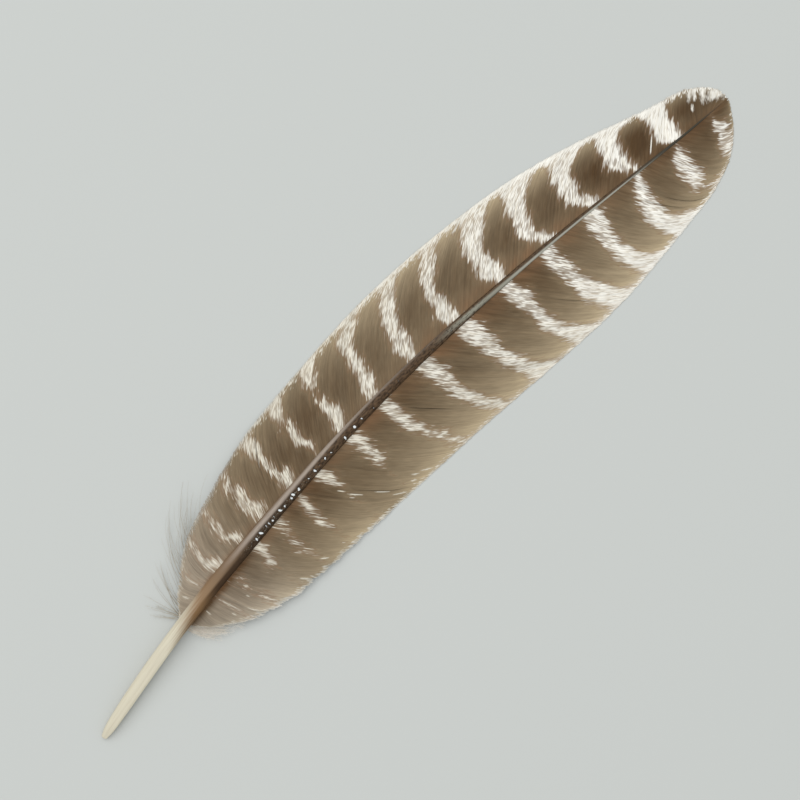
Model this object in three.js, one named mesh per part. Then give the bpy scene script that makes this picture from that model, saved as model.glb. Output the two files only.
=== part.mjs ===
// A barred wing feather lying on its hollow underside, glossy upper side up.
// Millimetres. +X runs from the quill's end to the tip, +Y to the narrow leading
// vane and +Z up. The origin is under the middle of the feather, on the surface it
// lies on.
import * as THREE from 'three';
import { mergeVertices } from 'three/addons/utils/BufferGeometryUtils.js';

// Driving dimensions
const SHAFT_LENGTH = 284.5;
const VANE_START = 46;
const VANE_END = 286.5;
const VANE_THICKNESS = 0.7;
const GAP = 0.3;

// How high the middle of the shaft arches up off the surface
const ARCH = 4;

// How high on the shaft the vanes grow, as a share of its half-thickness, and how
// steeply they fall to the surface: part of the way near the quill, fully further on.
const ROOT_HEIGHT = 0.35;
const FALL_POWER = 1.7;
const FALL_AT_START = 0.45;
const FALL_FULL_FROM = 120;

// The groove under the shaft
const GROOVE_START = 52;
const GROOVE_END = 262;
const GROOVE_DEPTH = 0.22;

// The small pit where the quill was fed: its size, the rounding of its mouth and floor,
// and the flat rim round it
const PIT_RADIUS = 0.4;
const PIT_DEPTH = 1.6;
const PIT_ROUNDING = 0.12;
const RIM_WIDTH = 0.2;

// How far the shaft's point runs on past its last ring
const POINT_LENGTH = 0.2;

// The flaps of down: their thickness, where they start under the shaft as a share of
// its half-width, and how much higher they lie there
const DOWN_THICKNESS = 0.5;
const DOWN_ROOT = 0.5;
const DOWN_RISE = 0.4;

const SHAFT_SIDES = 14;
const SHAFT_STEPS = 60;
const VANE_STEPS = 72;
const VANE_COLUMNS = 7;
const DOWN_STEPS = 16;
const DOWN_COLUMNS = 5;

// How much closer together the shaft's rings stand at the quill than at the tip
const RING_CROWDING = 1.15;

// Half the span over which the centreline's slope is read, the distance at which
// points are welded, and how near the bottom line a point has to be to sink in the groove
const SLOPE_REACH = 0.5;
const WELD_DISTANCE = 1e-5;
const GROOVE_TOLERANCE = 1e-4;

// [distance from the quill's end, half-width of the shaft]
const SHAFT_HALF_WIDTHS = [
  [0.3, 0.95],
  [3, 1.5],
  [10, 1.95],
  [20, 2.15],
  [45, 2.25],
  [58, 2.4],
  [66, 2.45],
  [82, 2.35],
  [98, 2.2],
  [114, 2.05],
  [130, 1.9],
  [150, 1.75],
  [170, 1.55],
  [194, 1.15],
  [226, 0.8],
  [258, 0.5],
  [273, 0.33],
  [SHAFT_LENGTH, 0.14],
];

// [distance from the quill's end, how far the shaft's centreline stands towards the
// leading side], on a little past both ends to keep its direction there
const SHAFT_SWEEP = [
  [-5, -1.03],
  [0, 0],
  [20, 3.65],
  [40, 6.65],
  [60, 8.85],
  [80, 10.3],
  [95, 11.25],
  [110, 12],
  [125, 12.5],
  [140, 12.6],
  [155, 12.3],
  [170, 11.6],
  [190, 10.25],
  [210, 8.6],
  [225, 6.95],
  [240, 5.15],
  [255, 3.25],
  [270, 1.35],
  [280, 0.4],
  [SHAFT_LENGTH, 0],
  [290, -0.45],
];

// [distance from the quill's end, reach of the vane from the shaft's centreline]
const LEADING_EDGE = [
  [VANE_START, 2.6],
  [48, 4.9],
  [52, 8.1],
  [56, 10.7],
  [62, 14.3],
  [66, 16.1],
  [82, 20],
  [98, 23],
  [130, 25],
  [162, 26.4],
  [194, 25.6],
  [226, 22.4],
  [242, 19.4],
  [258, 15.6],
  [268, 13.4],
  [275, 11.5],
  [280, 9.4],
  [283.5, 6.7],
  [285.6, 4],
  [VANE_END, 0.8],
];
const TRAILING_EDGE = [
  [VANE_START, 2.9],
  [48.5, 7.2],
  [53, 11.6],
  [58, 15.5],
  [66, 19.6],
  [82, 23.6],
  [98, 25.7],
  [130, 28.8],
  [162, 30.1],
  [194, 30.7],
  [212, 30.3],
  [226, 28.8],
  [242, 25.7],
  [255, 22.8],
  [263, 20.9],
  [270, 18.1],
  [276, 14.7],
  [280.8, 10.3],
  [284, 5.8],
  [286, 2.3],
  [VANE_END, 0.8],
];

// The down spreads under the first barbs, sweeping forward. The near and far sides run
// [share of the way out, distance from the quill's end]; the reach runs
// [share of the way from near to far side, distance from the shaft's centreline].
const LEADING_DOWN = {
  near: [[0, 43], [0.5, 45], [1, 52]],
  far: [[0, 60], [0.5, 70], [1, 88]],
  reach: [[0, 17], [0.35, 22.5], [0.7, 24.5], [1, 21.5]],
};
const TRAILING_DOWN = {
  near: [[0, 42], [1, 45]],
  far: [[0, 54], [1, 58]],
  reach: [[0, 5.5], [0.4, 11], [1, 15]],
};

/** A smooth curve through [place, value] pairs, held at its ends. */
function smoothCurve(pairs) {
  const curve = new THREE.CubicInterpolant(
    pairs.map(([place]) => place),
    pairs.map(([, value]) => value),
    1,
  );
  return (place) => curve.evaluate(place)[0];
}

const sweep = smoothCurve(SHAFT_SWEEP);
const shaftHalfWidth = smoothCurve(SHAFT_HALF_WIDTHS);
const leadingReach = smoothCurve(LEADING_EDGE);
const trailingReach = smoothCurve(TRAILING_EDGE);

/** How high the shaft's centreline stands, so that both its ends lie on the surface. */
function centreHeight(along) {
  const t = THREE.MathUtils.clamp(along / SHAFT_LENGTH, 0, 1);
  return shaftHalfWidth(along) + ARCH * 4 * t * (1 - t);
}

/** The point beside the shaft's centreline, square to it, at a height over the surface. */
function placed(along, side, height) {
  const slope = (sweep(along + SLOPE_REACH) - sweep(along - SLOPE_REACH)) / (2 * SLOPE_REACH);
  const length = Math.hypot(1, slope);
  return new THREE.Vector3(
    along - (side * slope) / length,
    sweep(along) + side / length,
    height,
  );
}

/** The height of a vane's middle surface, at a share of the way out to its edge. */
function vaneHeight(along, share) {
  const edge = VANE_THICKNESS / 2;
  const root = Math.max(centreHeight(along) + ROOT_HEIGHT * shaftHalfWidth(along), edge);
  const fall = THREE.MathUtils.mapLinear(along, VANE_START, FALL_FULL_FROM, FALL_AT_START, 1);
  return root - Math.min(fall, 1) * (root - edge) * share ** FALL_POWER;
}

/** Moves every point of a geometry and closes its seams. */
function reshaped(geometry, move) {
  const points = geometry.attributes.position;
  for (let i = 0; i < points.count; i++) {
    const moved = move(new THREE.Vector3().fromBufferAttribute(points, i));
    points.setXYZ(i, moved.x, moved.y, moved.z);
  }
  geometry.deleteAttribute('normal');
  geometry.deleteAttribute('uv');
  return mergeVertices(geometry, WELD_DISTANCE);
}

/** The quill and shaft in one: a turned, tapering rod, grooved below and bent. */
function shaftGeometry() {
  const outline = [
    new THREE.Vector2(0, PIT_DEPTH),
    new THREE.Vector2(PIT_RADIUS, PIT_DEPTH - PIT_ROUNDING),
    new THREE.Vector2(PIT_RADIUS, PIT_ROUNDING),
    new THREE.Vector2(PIT_RADIUS + RIM_WIDTH, 0),
  ];
  const first = SHAFT_HALF_WIDTHS[0][0];
  for (let i = 0; i <= SHAFT_STEPS; i++) {
    const along = first + (SHAFT_LENGTH - first) * (i / SHAFT_STEPS) ** RING_CROWDING;
    outline.push(new THREE.Vector2(shaftHalfWidth(along), along));
  }
  outline.push(new THREE.Vector2(0, SHAFT_LENGTH + POINT_LENGTH));
  const rod = new THREE.LatheGeometry(outline, SHAFT_SIDES);
  return reshaped(rod, ({ x, y, z }) => {
    const below = z < 0 && Math.abs(x) < GROOVE_TOLERANCE;
    const grooved = below && y > GROOVE_START && y < GROOVE_END;
    const height = grooved ? z * (1 - GROOVE_DEPTH) : z;
    return placed(y, -x, centreHeight(y) + height);
  });
}

/** One vane: a thin curved plate from beside the shaft to the feather's edge. */
function vaneGeometry(reach, side) {
  const plate = new THREE.BoxGeometry(1, 1, 1, VANE_STEPS, VANE_COLUMNS, 1);
  return reshaped(plate, ({ x, y, z }) => {
    const eased = 0.5 - 0.5 * Math.cos(Math.PI * (x + 0.5));
    const along = THREE.MathUtils.lerp(VANE_START, VANE_END, (x + 0.5 + eased) / 2);
    const share = side * y + 0.5;
    const inner = (along < SHAFT_LENGTH ? shaftHalfWidth(along) : 0) + GAP;
    const outer = Math.max(reach(along), inner + GAP);
    const out = THREE.MathUtils.lerp(inner, outer, share);
    return placed(along, side * out, vaneHeight(along, share) + z * VANE_THICKNESS);
  });
}

/** One side's down: a thin flap below the vane, out to the longest wisps. */
function downGeometry({ near, far, reach }, side) {
  const plate = new THREE.BoxGeometry(1, 1, 1, DOWN_STEPS, DOWN_COLUMNS, 1);
  const [nearSide, farSide, outerEdge] = [near, far, reach].map(smoothCurve);
  return reshaped(plate, ({ x, y, z }) => {
    const share = side * y + 0.5;
    const along = THREE.MathUtils.lerp(nearSide(share), farSide(share), x + 0.5);
    const inner = shaftHalfWidth(along) * DOWN_ROOT;
    const out = THREE.MathUtils.lerp(inner, outerEdge(x + 0.5), share);
    const height = DOWN_THICKNESS / 2 + (1 - share) * DOWN_RISE;
    return placed(along, side * out, height + z * DOWN_THICKNESS);
  });
}

/** A named piece with its own finish. */
function piece(name, geometry, color, roughness) {
  const mesh = new THREE.Mesh(
    geometry,
    new THREE.MeshStandardMaterial({ color, roughness, metalness: 0 }),
  );
  mesh.name = name;
  return mesh;
}

const LEADING = 1;
const TRAILING = -1;

const feather = new THREE.Group();
feather.add(
  piece('quill_shaft', shaftGeometry(), 0x5a4636, 0.35),
  piece('leading_vane', vaneGeometry(leadingReach, LEADING), 0x8a7760, 0.6),
  piece('trailing_vane', vaneGeometry(trailingReach, TRAILING), 0x94826a, 0.6),
  piece('leading_down', downGeometry(LEADING_DOWN, LEADING), 0xd8d2c4, 0.9),
  piece('trailing_down', downGeometry(TRAILING_DOWN, TRAILING), 0xcfc4b0, 0.9),
);

// The origin stands under the middle of the whole feather.
const box = new THREE.Box3().setFromObject(feather);
const middle = box.getCenter(new THREE.Vector3());
feather.position.set(-middle.x, -middle.y, -box.min.z);

export default feather;
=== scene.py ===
"""A barred wing feather, made barb by barb on the frame of its packed shaft and vanes."""

import logging
import math
from dataclasses import dataclass
from enum import Enum

import bmesh
import bpy
import numpy as np
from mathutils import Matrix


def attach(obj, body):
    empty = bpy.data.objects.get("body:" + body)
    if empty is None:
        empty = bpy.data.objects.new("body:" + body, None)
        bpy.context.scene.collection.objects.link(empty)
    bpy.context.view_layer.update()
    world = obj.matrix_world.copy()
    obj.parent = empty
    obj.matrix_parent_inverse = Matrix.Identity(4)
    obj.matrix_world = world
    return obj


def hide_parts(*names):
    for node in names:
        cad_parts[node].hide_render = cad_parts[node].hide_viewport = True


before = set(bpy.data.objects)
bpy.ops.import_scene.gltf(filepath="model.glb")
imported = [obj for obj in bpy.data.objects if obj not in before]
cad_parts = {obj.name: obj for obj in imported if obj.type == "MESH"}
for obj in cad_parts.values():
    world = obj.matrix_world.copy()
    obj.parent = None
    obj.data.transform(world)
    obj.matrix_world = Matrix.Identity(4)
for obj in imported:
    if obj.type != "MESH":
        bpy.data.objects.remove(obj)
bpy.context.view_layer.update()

log = logging.getLogger("feather")

MM = 0.001
BODY = "root"

# Millimetres to one unit of a UV map, along the shaft and along a barb
UV_MM = 100

# Edges that turn more than this stay sharp
SHARP_EDGE = math.radians(50)

# The lengths of the sines that make up an uneven wave, and its usual peak
WAVE_STRETCHES = (0.7, 1.0, 1.63, 2.41)
WAVE_PEAK = 2.6

Colour = tuple[float, float, float]
Span = tuple[float, float]
Pairs = tuple[Span, ...]
Socket = bpy.types.NodeSocket


class Side(Enum):
    """The two sides of the shaft, as the sign of the way out from it."""

    LEADING = 1
    TRAILING = -1


def smoothstep(low: float, high: float, value: np.ndarray) -> np.ndarray:
    """Rises smoothly from 0 at low to 1 at high.

    Args:
        low: Where the rise starts.
        high: Where it ends.
        value: The places to read.

    Returns:
        The rise at each place.
    """
    t = np.clip((value - low) / (high - low), 0.0, 1.0)
    return t * t * (3.0 - 2.0 * t)


def within(span: Span, ends: Span, value: np.ndarray) -> np.ndarray:
    """Is 1 inside a span and falls smoothly to 0 at its two ends.

    Args:
        span: Where it starts and ends.
        ends: How long the rise after the start and the fall before the end are.
        value: The places to read.

    Returns:
        The height at each place.
    """
    (start, end), (rise, fall) = span, ends
    return smoothstep(start, start + rise, value) * (1 - smoothstep(end - fall, end, value))


def ripple(value: np.ndarray, period: float, seed: int) -> np.ndarray:
    """A smooth, uneven wave between about -1 and 1.

    Args:
        value: Where to read it.
        period: The usual length of one wave.
        seed: Picks the wave.

    Returns:
        The wave's height at each place.
    """
    rng = np.random.default_rng(seed)
    total = np.zeros_like(value, dtype=float)
    for stretch in WAVE_STRETCHES:
        total += np.sin(2 * math.pi * value / (period * stretch) + rng.uniform(0, 2 * math.pi))
    return total / WAVE_PEAK


@dataclass(frozen=True)
class Profile:
    """A smooth curve through (place, value) pairs, held at its ends."""

    pairs: Pairs

    def at(self, place: np.ndarray) -> np.ndarray:
        """Reads the curve.

        Args:
            place: The places to read, of any shape.

        Returns:
            The curve's value at each place.
        """
        knots = np.array(self.pairs, float)
        x, y = knots[:, 0], knots[:, 1]
        slope = np.gradient(y, x)
        p = np.clip(np.asarray(place, float), x[0], x[-1])
        i = np.clip(np.searchsorted(x, p, side="right") - 1, 0, len(x) - 2)
        width = x[i + 1] - x[i]
        t = (p - x[i]) / width
        rise = (3 - 2 * t) * t * t
        bend_in = t * (1 - t) ** 2 * slope[i]
        bend_out = t * t * (t - 1) * slope[i + 1]
        return y[i] + (y[i + 1] - y[i]) * rise + width * (bend_in + bend_out)


@dataclass(frozen=True)
class Plan:
    """The feather's driving shape: how the shaft bends, tapers and arches. Millimetres."""

    shaft_length: float = 284.5
    tip_beyond: float = 0.2
    vane_start: float = 46.0
    arch: float = 4.0
    slope_step: float = 0.5
    sweep: Profile = Profile((
        (-5, -1.03), (0, 0), (20, 3.65), (40, 6.65), (60, 8.85), (80, 10.3), (95, 11.25), (110, 12),
        (125, 12.5), (140, 12.6), (155, 12.3), (170, 11.6), (190, 10.25), (210, 8.6), (225, 6.95),
        (240, 5.15), (255, 3.25), (270, 1.35), (280, 0.4), (284.5, 0), (290, -0.45),
    ))
    half_width: Profile = Profile((
        (0.3, 0.95), (3, 1.5), (10, 1.95), (20, 2.15), (45, 2.25), (58, 2.4), (66, 2.45),
        (82, 2.35), (98, 2.2), (114, 2.05), (130, 1.9), (150, 1.75), (170, 1.55), (194, 1.15),
        (226, 0.8), (258, 0.5), (273, 0.33), (284.5, 0.14),
    ))

    def centre_height(self, along: np.ndarray) -> np.ndarray:
        """How high the shaft's centreline stands over the surface."""
        t = np.clip(along / self.shaft_length, 0, 1)
        return self.half_width.at(along) + self.arch * 4 * t * (1 - t)

    def flat(self, along: np.ndarray, out: np.ndarray) -> np.ndarray:
        """Points beside the shaft, in the plane of the feather.

        Args:
            along: Distance from the quill's end.
            out: Distance from the shaft's centreline, positive on the leading side.

        Returns:
            The points' x and y, in the last axis.
        """
        step = self.slope_step
        slope = (self.sweep.at(along + step) - self.sweep.at(along - step)) / (2 * step)
        length = np.hypot(1, slope)
        return np.stack([along - out * slope / length, self.sweep.at(along) + out / length], -1)

    def origin(self) -> np.ndarray:
        """Finds where the plan's own origin lies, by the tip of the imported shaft.

        Returns:
            The origin's place in the frame, in metres.
        """
        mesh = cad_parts["quill_shaft"].data
        tip = max((v.co for v in mesh.vertices), key=lambda co: co.x)
        end = np.array([self.shaft_length + self.tip_beyond])
        x, y = self.flat(end, np.zeros(1))[0] * MM
        return np.array([tip.x - x, tip.y - y, tip.z - self.centre_height(end)[0] * MM])

    def place(self, along: np.ndarray, out: np.ndarray, height: np.ndarray) -> np.ndarray:
        """Points of the frame, in metres, from distances along, out and up in millimetres."""
        points = np.concatenate([self.flat(along, out), height[..., None]], -1)
        return points * MM + self.origin()


PLAN = Plan()


class Graph:
    """A material's nodes, added and linked one call at a time."""

    def __init__(self, name: str) -> None:
        """Starts a node material.

        Args:
            name: The material's name.
        """
        self.material = bpy.data.materials.new(name)
        self.material.use_nodes = True
        self.tree = self.material.node_tree
        self.shader = self.tree.nodes["Principled BSDF"]

    def add(self, kind: str, *inputs: object, **settings: object) -> Socket:
        """Adds a node.

        Args:
            kind: The node's type, without the leading ShaderNode.
            *inputs: What each input gets, in order: a socket, a value, or None to leave it.
            **settings: The node's own properties, and "out" for the output to return.

        Returns:
            The node's first output, or the one that "out" names.
        """
        out = settings.pop("out", 0)
        node = self.tree.nodes.new("ShaderNode" + kind)
        for key, value in settings.items():
            setattr(node, key, value)
        for slot, value in zip(node.inputs, inputs):
            self.feed(slot, value)
        return node.outputs[out]

    def feed(self, slot: Socket, value: object) -> None:
        """Links a socket to an input, or sets the input's own value.

        Args:
            slot: The input.
            value: A socket, a plain value, or None to leave the input as it is.
        """
        if isinstance(value, Socket):
            self.tree.links.new(value, slot)
        elif value is not None:
            slot.default_value = value

    def math(self, operation: str, *values: object) -> Socket:
        """One step of arithmetic."""
        return self.add("Math", *values, operation=operation)

    def swing(self, value: object, reach: object, onto: object = 0.0) -> Socket:
        """Turns a grey around one half into a swing about another value."""
        return self.math("MULTIPLY_ADD", self.math("SUBTRACT", value, 0.5), reach, onto)

    def ramp(self, value: object, low: float, high: float, first: float = 0.0,
             last: float = 1.0) -> Socket:
        """A smooth rise from first, at low, to last, at high."""
        return self.add("MapRange", value, low, high, first, last, interpolation_type="SMOOTHSTEP")

    def mix(self, share: object, first: object, second: object) -> Socket:
        """Mixes two colours, through the colour sockets of a mix node.

        Args:
            share: How much of the second colour there is.
            first: A colour or its socket.
            second: Another.

        Returns:
            The mixed colour.
        """
        node = self.tree.nodes.new("ShaderNodeMix")
        node.data_type = "RGBA"
        self.feed(node.inputs["Factor"], share)
        for slot, value in zip((node.inputs[6], node.inputs[7]), (first, second)):
            self.feed(slot, (*value, 1.0) if isinstance(value, tuple) else value)
        return node.outputs[2]

    def attribute(self, name: str) -> Socket:
        """A number stored at the mesh's points."""
        return self.add("Attribute", attribute_name=name, out="Fac")

    def noise(self, vector: object, detail: float = 1.0) -> Socket:
        """Smooth random grey, one blot to each unit of the vector."""
        return self.add("TexNoise", vector, None, 1.0, detail)

    def scaled(self, vector: object, x: float, y: float, z: float = 1.0) -> Socket:
        """A vector stretched by a factor for each axis."""
        return self.add("VectorMath", vector, (x, y, z), operation="MULTIPLY")

    def finish(self, colour: object, roughness: object, shine: float) -> bpy.types.Material:
        """Feeds the surface shader.

        Args:
            colour: A colour or its socket.
            roughness: A number or its socket.
            shine: How strongly the surface mirrors, as the shader's specular level.

        Returns:
            The finished material.
        """
        self.feed(self.shader.inputs["Base Color"], colour)
        self.feed(self.shader.inputs["Roughness"], roughness)
        self.shader.inputs["Specular IOR Level"].default_value = shine
        return self.material


@dataclass(frozen=True)
class Bar:
    """One pale bar across a vane.

    Its rows hold a share of the way out to the edge, and where along the shaft the bar
    starts and ends there, in millimetres. Where it ends before it starts there is no bar.
    Firm runs over the same shares: the bar is whole at 1 and flecked away at 0.
    """

    rows: tuple[tuple[float, float, float], ...]
    firm: Pairs = ((0.0, 1.0), (1.0, 0.8))

    def middle(self, share: np.ndarray) -> np.ndarray:
        """The middle of the bar at a share of the way out."""
        return Profile(tuple((s, (a + b) / 2) for s, a, b in self.rows)).at(share)

    def half(self, share: np.ndarray) -> np.ndarray:
        """Half the bar's width at a share of the way out, below 0 where there is no bar."""
        return Profile(tuple((s, (b - a) / 2) for s, a, b in self.rows)).at(share)


@dataclass(frozen=True)
class Streak:
    """A pale dash along a few neighbouring barbs: its place, its length and how many barbs."""

    along: float
    share: float
    length: float
    barbs: float = 2.4


@dataclass(frozen=True)
class Crease:
    """A line where neighbouring barbs have come apart and lie one over the other.

    It follows the barb that grows at its root, from a start to an end share of the way out.
    The barbs behind it drop by its step and rise again over its slope. Its painted shadow
    behind and painted shine before it are each a strength and the distance over which it
    dies away.
    """

    root: float
    start: float
    end: float
    step: float = 0.35
    slope: float = 3.0
    shadow: Span = (0.55, 0.45)
    shine: Span = (0.12, 0.5)


@dataclass(frozen=True)
class Strand:
    """A closed rod of a few flat sides, the start of every barb and wisp."""

    sides: int
    steps: int

    def build(self) -> tuple[np.ndarray, np.ndarray, list[list[int]]]:
        """Makes the rod.

        Returns:
            Each point's ring and corner number, and the faces as lists of point numbers.
        """
        bm = bmesh.new()
        bmesh.ops.create_cone(bm, cap_ends=True, segments=self.sides, radius1=1, radius2=1, depth=2)
        long_edges = [e for e in bm.edges if abs(e.verts[0].co.z - e.verts[1].co.z) > 1]
        bmesh.ops.subdivide_edges(bm, edges=long_edges, cuts=self.steps - 1, use_grid_fill=True)
        bm.verts.index_update()
        points = np.array([v.co for v in bm.verts])
        faces = [[v.index for v in f.verts] for f in bm.faces]
        bm.free()
        ring = np.rint((points[:, 2] + 1) / 2 * self.steps).astype(int)
        turn = np.arctan2(points[:, 1], points[:, 0]) / (2 * math.pi) * self.sides
        corner = np.rint(turn - turn.min()).astype(int) % self.sides
        return ring, corner, faces


def joined_strands(name: str, strand: Strand, rings: np.ndarray, values: dict[str, np.ndarray],
                   uv: np.ndarray) -> bpy.types.Object:
    """One mesh of many strands.

    Args:
        name: The piece's name.
        strand: The rod that each strand starts from.
        rings: Every strand's points, as [strand, ring, corner, xyz], in metres.
        values: Numbers to store at the points, each as [strand, ring] or [strand, ring, corner].
        uv: The UV place of each ring, as [strand, ring, 2].

    Returns:
        The new object, smooth but for its sharp long edges.
    """
    ring, corner, faces = strand.build()
    count = len(rings)
    points = rings[:, ring, corner].reshape(-1, 3)
    shifts = np.arange(count) * len(ring)
    every_face = [[p + shift for p in face] for shift in shifts.tolist() for face in faces]
    mesh = bpy.data.meshes.new(name)
    mesh.from_pydata(points.tolist(), [], every_face)
    for key, value in values.items():
        layer = mesh.attributes.new(key, "FLOAT", "POINT")
        stored = value[:, ring, corner] if value.ndim == 3 else value[:, ring]
        layer.data.foreach_set("value", stored.reshape(-1).astype(np.float32))
    corners = np.empty(len(mesh.loops), np.int32)
    mesh.loops.foreach_get("vertex_index", corners)
    flat_uv = uv[:, ring].reshape(-1, 2)[corners]
    mesh.uv_layers.new(name="strand").data.foreach_set("uv", flat_uv.reshape(-1).astype(np.float32))
    return linked(name, mesh)


def linked(name: str, mesh: bpy.types.Mesh) -> bpy.types.Object:
    """Puts a mesh in the scene, with its faces turned outwards.

    Args:
        name: The new object's name.
        mesh: Its mesh.

    Returns:
        The object.
    """
    bm = bmesh.new()
    bm.from_mesh(mesh)
    bmesh.ops.recalc_face_normals(bm, faces=bm.faces)
    bm.to_mesh(mesh)
    bm.free()
    mesh.shade_smooth()
    mesh.set_sharp_from_angle(angle=SHARP_EDGE)
    piece = bpy.data.objects.new(name, mesh)
    bpy.context.scene.collection.objects.link(piece)
    return piece


def hand_in(piece: bpy.types.Object, material: bpy.types.Material, node: str) -> None:
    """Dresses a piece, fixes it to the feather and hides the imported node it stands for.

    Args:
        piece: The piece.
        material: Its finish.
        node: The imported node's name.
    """
    piece.data.materials.append(material)
    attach(piece, BODY)
    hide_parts(node)
    log.info("%s: %d faces", piece.name, len(piece.data.polygons))


@dataclass(frozen=True)
class Grain:
    """Random change that every barb has for itself.

    It has so many blots to a millimetre along the barb and to half a barb across, a number
    that picks its pattern, and how far it swings.
    """

    per_mm: float
    across: float
    pattern: float
    reach: float = 1.0


class BarbGraph(Graph):
    """A vane's material, which knows each point's place on its own barb.

    In units of the UV map, root is where the point's barb grows along the shaft and walked
    how far along the barb it is. Barb is the barb's number, and differs across the barb.
    """

    def __init__(self, name: str) -> None:
        """Starts the material and reads the places.

        Args:
            name: The material's name.
        """
        super().__init__(name)
        self.place = self.add("UVMap", uv_map="strand")
        self.root = self.add("SeparateXYZ", self.place, out="X")
        self.walked = self.add("SeparateXYZ", self.place, out="Y")
        self.barb = self.attribute("barb")

    def grey(self, grain: Grain) -> Socket:
        """Reads a grain's random grey.

        Args:
            grain: The grain.

        Returns:
            Its grey, around one half.
        """
        across = self.math("MULTIPLY", self.barb, grain.across)
        run = self.math("MULTIPLY", self.walked, grain.per_mm * UV_MM)
        return self.noise(self.add("CombineXYZ", across, run, grain.pattern), 0.0)

    def swung(self, grain: Grain, onto: object) -> Socket:
        """A grain's swing about another value."""
        return self.swing(self.grey(grain), grain.reach, onto)


@dataclass(frozen=True)
class VaneFinish:
    """Satin brown barbs with pale ragged bars across them. Distances in millimetres.

    Every bar's drawn edge lies inside its rows by edge_inset, and fades over edge_blur.
    """

    dark: Colour = (0.068, 0.036, 0.0125)
    pale: Colour = (0.43, 0.34, 0.215)
    ash: Colour = (0.41, 0.345, 0.26)
    frost: Colour = (0.68, 0.59, 0.47)
    warm: Colour = (0.180, 0.086, 0.036)
    cream: Colour = (0.69, 0.65, 0.55)
    milk: Colour = (0.825, 0.797, 0.725)
    oat: Colour = (0.56, 0.485, 0.355)
    underside: Colour = (0.42, 0.38, 0.32)
    edge_inset: float = 0.34
    edge_blur: float = 1.1
    long_teeth: Grain = Grain(0.25, 0.4, 3.7, 3.2)
    short_teeth: Grain = Grain(0.6, 0.7, 11.3, 1.7)
    broad_teeth: float = 3.2
    long_flecks: Grain = Grain(0.3, 0.16, 95.3, 0.45)
    short_flecks: Grain = Grain(0.4, 0.6, 23.9)
    fringe_gaps: Grain = Grain(0.6, 0.6, 31.1, 1.5)
    streak_ends: Grain = Grain(0.9, 0.5, 47.3, 0.9)
    fading: Grain = Grain(0.12, 0.3, 59.0, 0.10)
    blot_fading: float = 0.22
    dulling: Grain = Grain(0.4, 0.7, 71.7)
    fibres: Grain = Grain(0.3, 0.8, 83.1)
    roughness: float = 0.6
    shine: float = 0.16

    def bar_edge(self, g: BarbGraph) -> Socket:
        """Draws the bars' ragged edges, which are deeper where a bar isn't firm.

        Args:
            g: The material's nodes.

        Returns:
            How far inside a bar each point lies, below 0 outside.
        """
        turn = g.math("FRACT", g.math("ADD", g.attribute("bar_turn"), 0.5))
        turn = g.math("ABSOLUTE", g.math("SUBTRACT", turn, 0.5))
        inside = g.math("SUBTRACT", g.attribute("bar_half"), turn)
        inside = g.math("MULTIPLY", inside, g.attribute("bar_gap"))
        teeth = g.swing(g.noise(g.scaled(g.place, 45, 8), 1.0), self.broad_teeth)
        teeth = g.swung(self.long_teeth, g.swung(self.short_teeth, teeth))
        depth = g.ramp(g.attribute("bar_firm"), 0.2, 1.0, 1.9, 0.95)
        return g.math("ADD", inside, g.math("MULTIPLY", teeth, depth))

    def whiteness(self, g: BarbGraph, edge: Socket) -> Socket:
        """Joins the flecked bars, the fringe along the vane's edge and the streaks.

        Args:
            g: The material's nodes.
            edge: How far inside a bar each point lies.

        Returns:
            How white each point is.
        """
        firm = g.attribute("bar_firm")
        fringe = g.attribute("fringe")
        bar = g.ramp(edge, self.edge_inset - self.edge_blur, self.edge_inset + self.edge_blur)
        level = g.math("MULTIPLY_ADD", firm, 0.30, 0.27)
        fleck = g.math("SUBTRACT", g.swung(self.long_flecks, g.grey(self.short_flecks)), level)
        fleck = g.math("MULTIPLY", g.ramp(fleck, -0.07, 0.13), g.ramp(firm, 0.3, 1.0, 0.95, 0.4))
        bar = g.math("MULTIPLY", bar, g.math("SUBTRACT", 1.0, fleck))
        gapped = g.ramp(g.swung(self.fringe_gaps, fringe), 0.42, 0.85)
        gapped = g.math("MULTIPLY", gapped, g.ramp(fringe, 0.0, 0.15))
        streak = g.ramp(g.swung(self.streak_ends, g.attribute("streak")), -0.25, 0.8, 0.0, 0.9)
        white = g.math("MAXIMUM", g.math("MAXIMUM", bar, gapped), streak)
        return g.math("MULTIPLY", white, g.attribute("bold"))

    def brown(self, g: BarbGraph, edge: Socket) -> Socket:
        """Mixes the browns, which pale outwards and are warm beside the shaft and the bars.

        Args:
            g: The material's nodes.
            edge: How far inside a bar each point lies.

        Returns:
            The colour between the bars.
        """
        blots = g.noise(g.scaled(g.place, 14, 9), 2.0)
        fade = g.swung(self.fading, g.swing(blots, self.blot_fading, g.attribute("fade")))
        fade = g.math("ADD", fade, g.ramp(edge, -3.6, -0.6, 0.0, 0.09))
        pale = g.mix(g.ramp(g.attribute("bold"), 0.7, 0.98), self.ash, self.pale)
        brown = g.mix(g.math("MAXIMUM", fade, 0.0), self.dark, pale)
        brown = g.mix(g.ramp(fade, 0.95, 1.6, 0.0, 0.8), brown, self.frost)
        beside_bar = g.ramp(edge, -1.8, -0.2, 0.0, 0.35)
        glow = g.math("MULTIPLY", g.attribute("warmth"), g.ramp(blots, 0.35, 0.65, 0.4, 1.6))
        return g.mix(g.math("MAXIMUM", glow, beside_bar), brown, self.warm)

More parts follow.
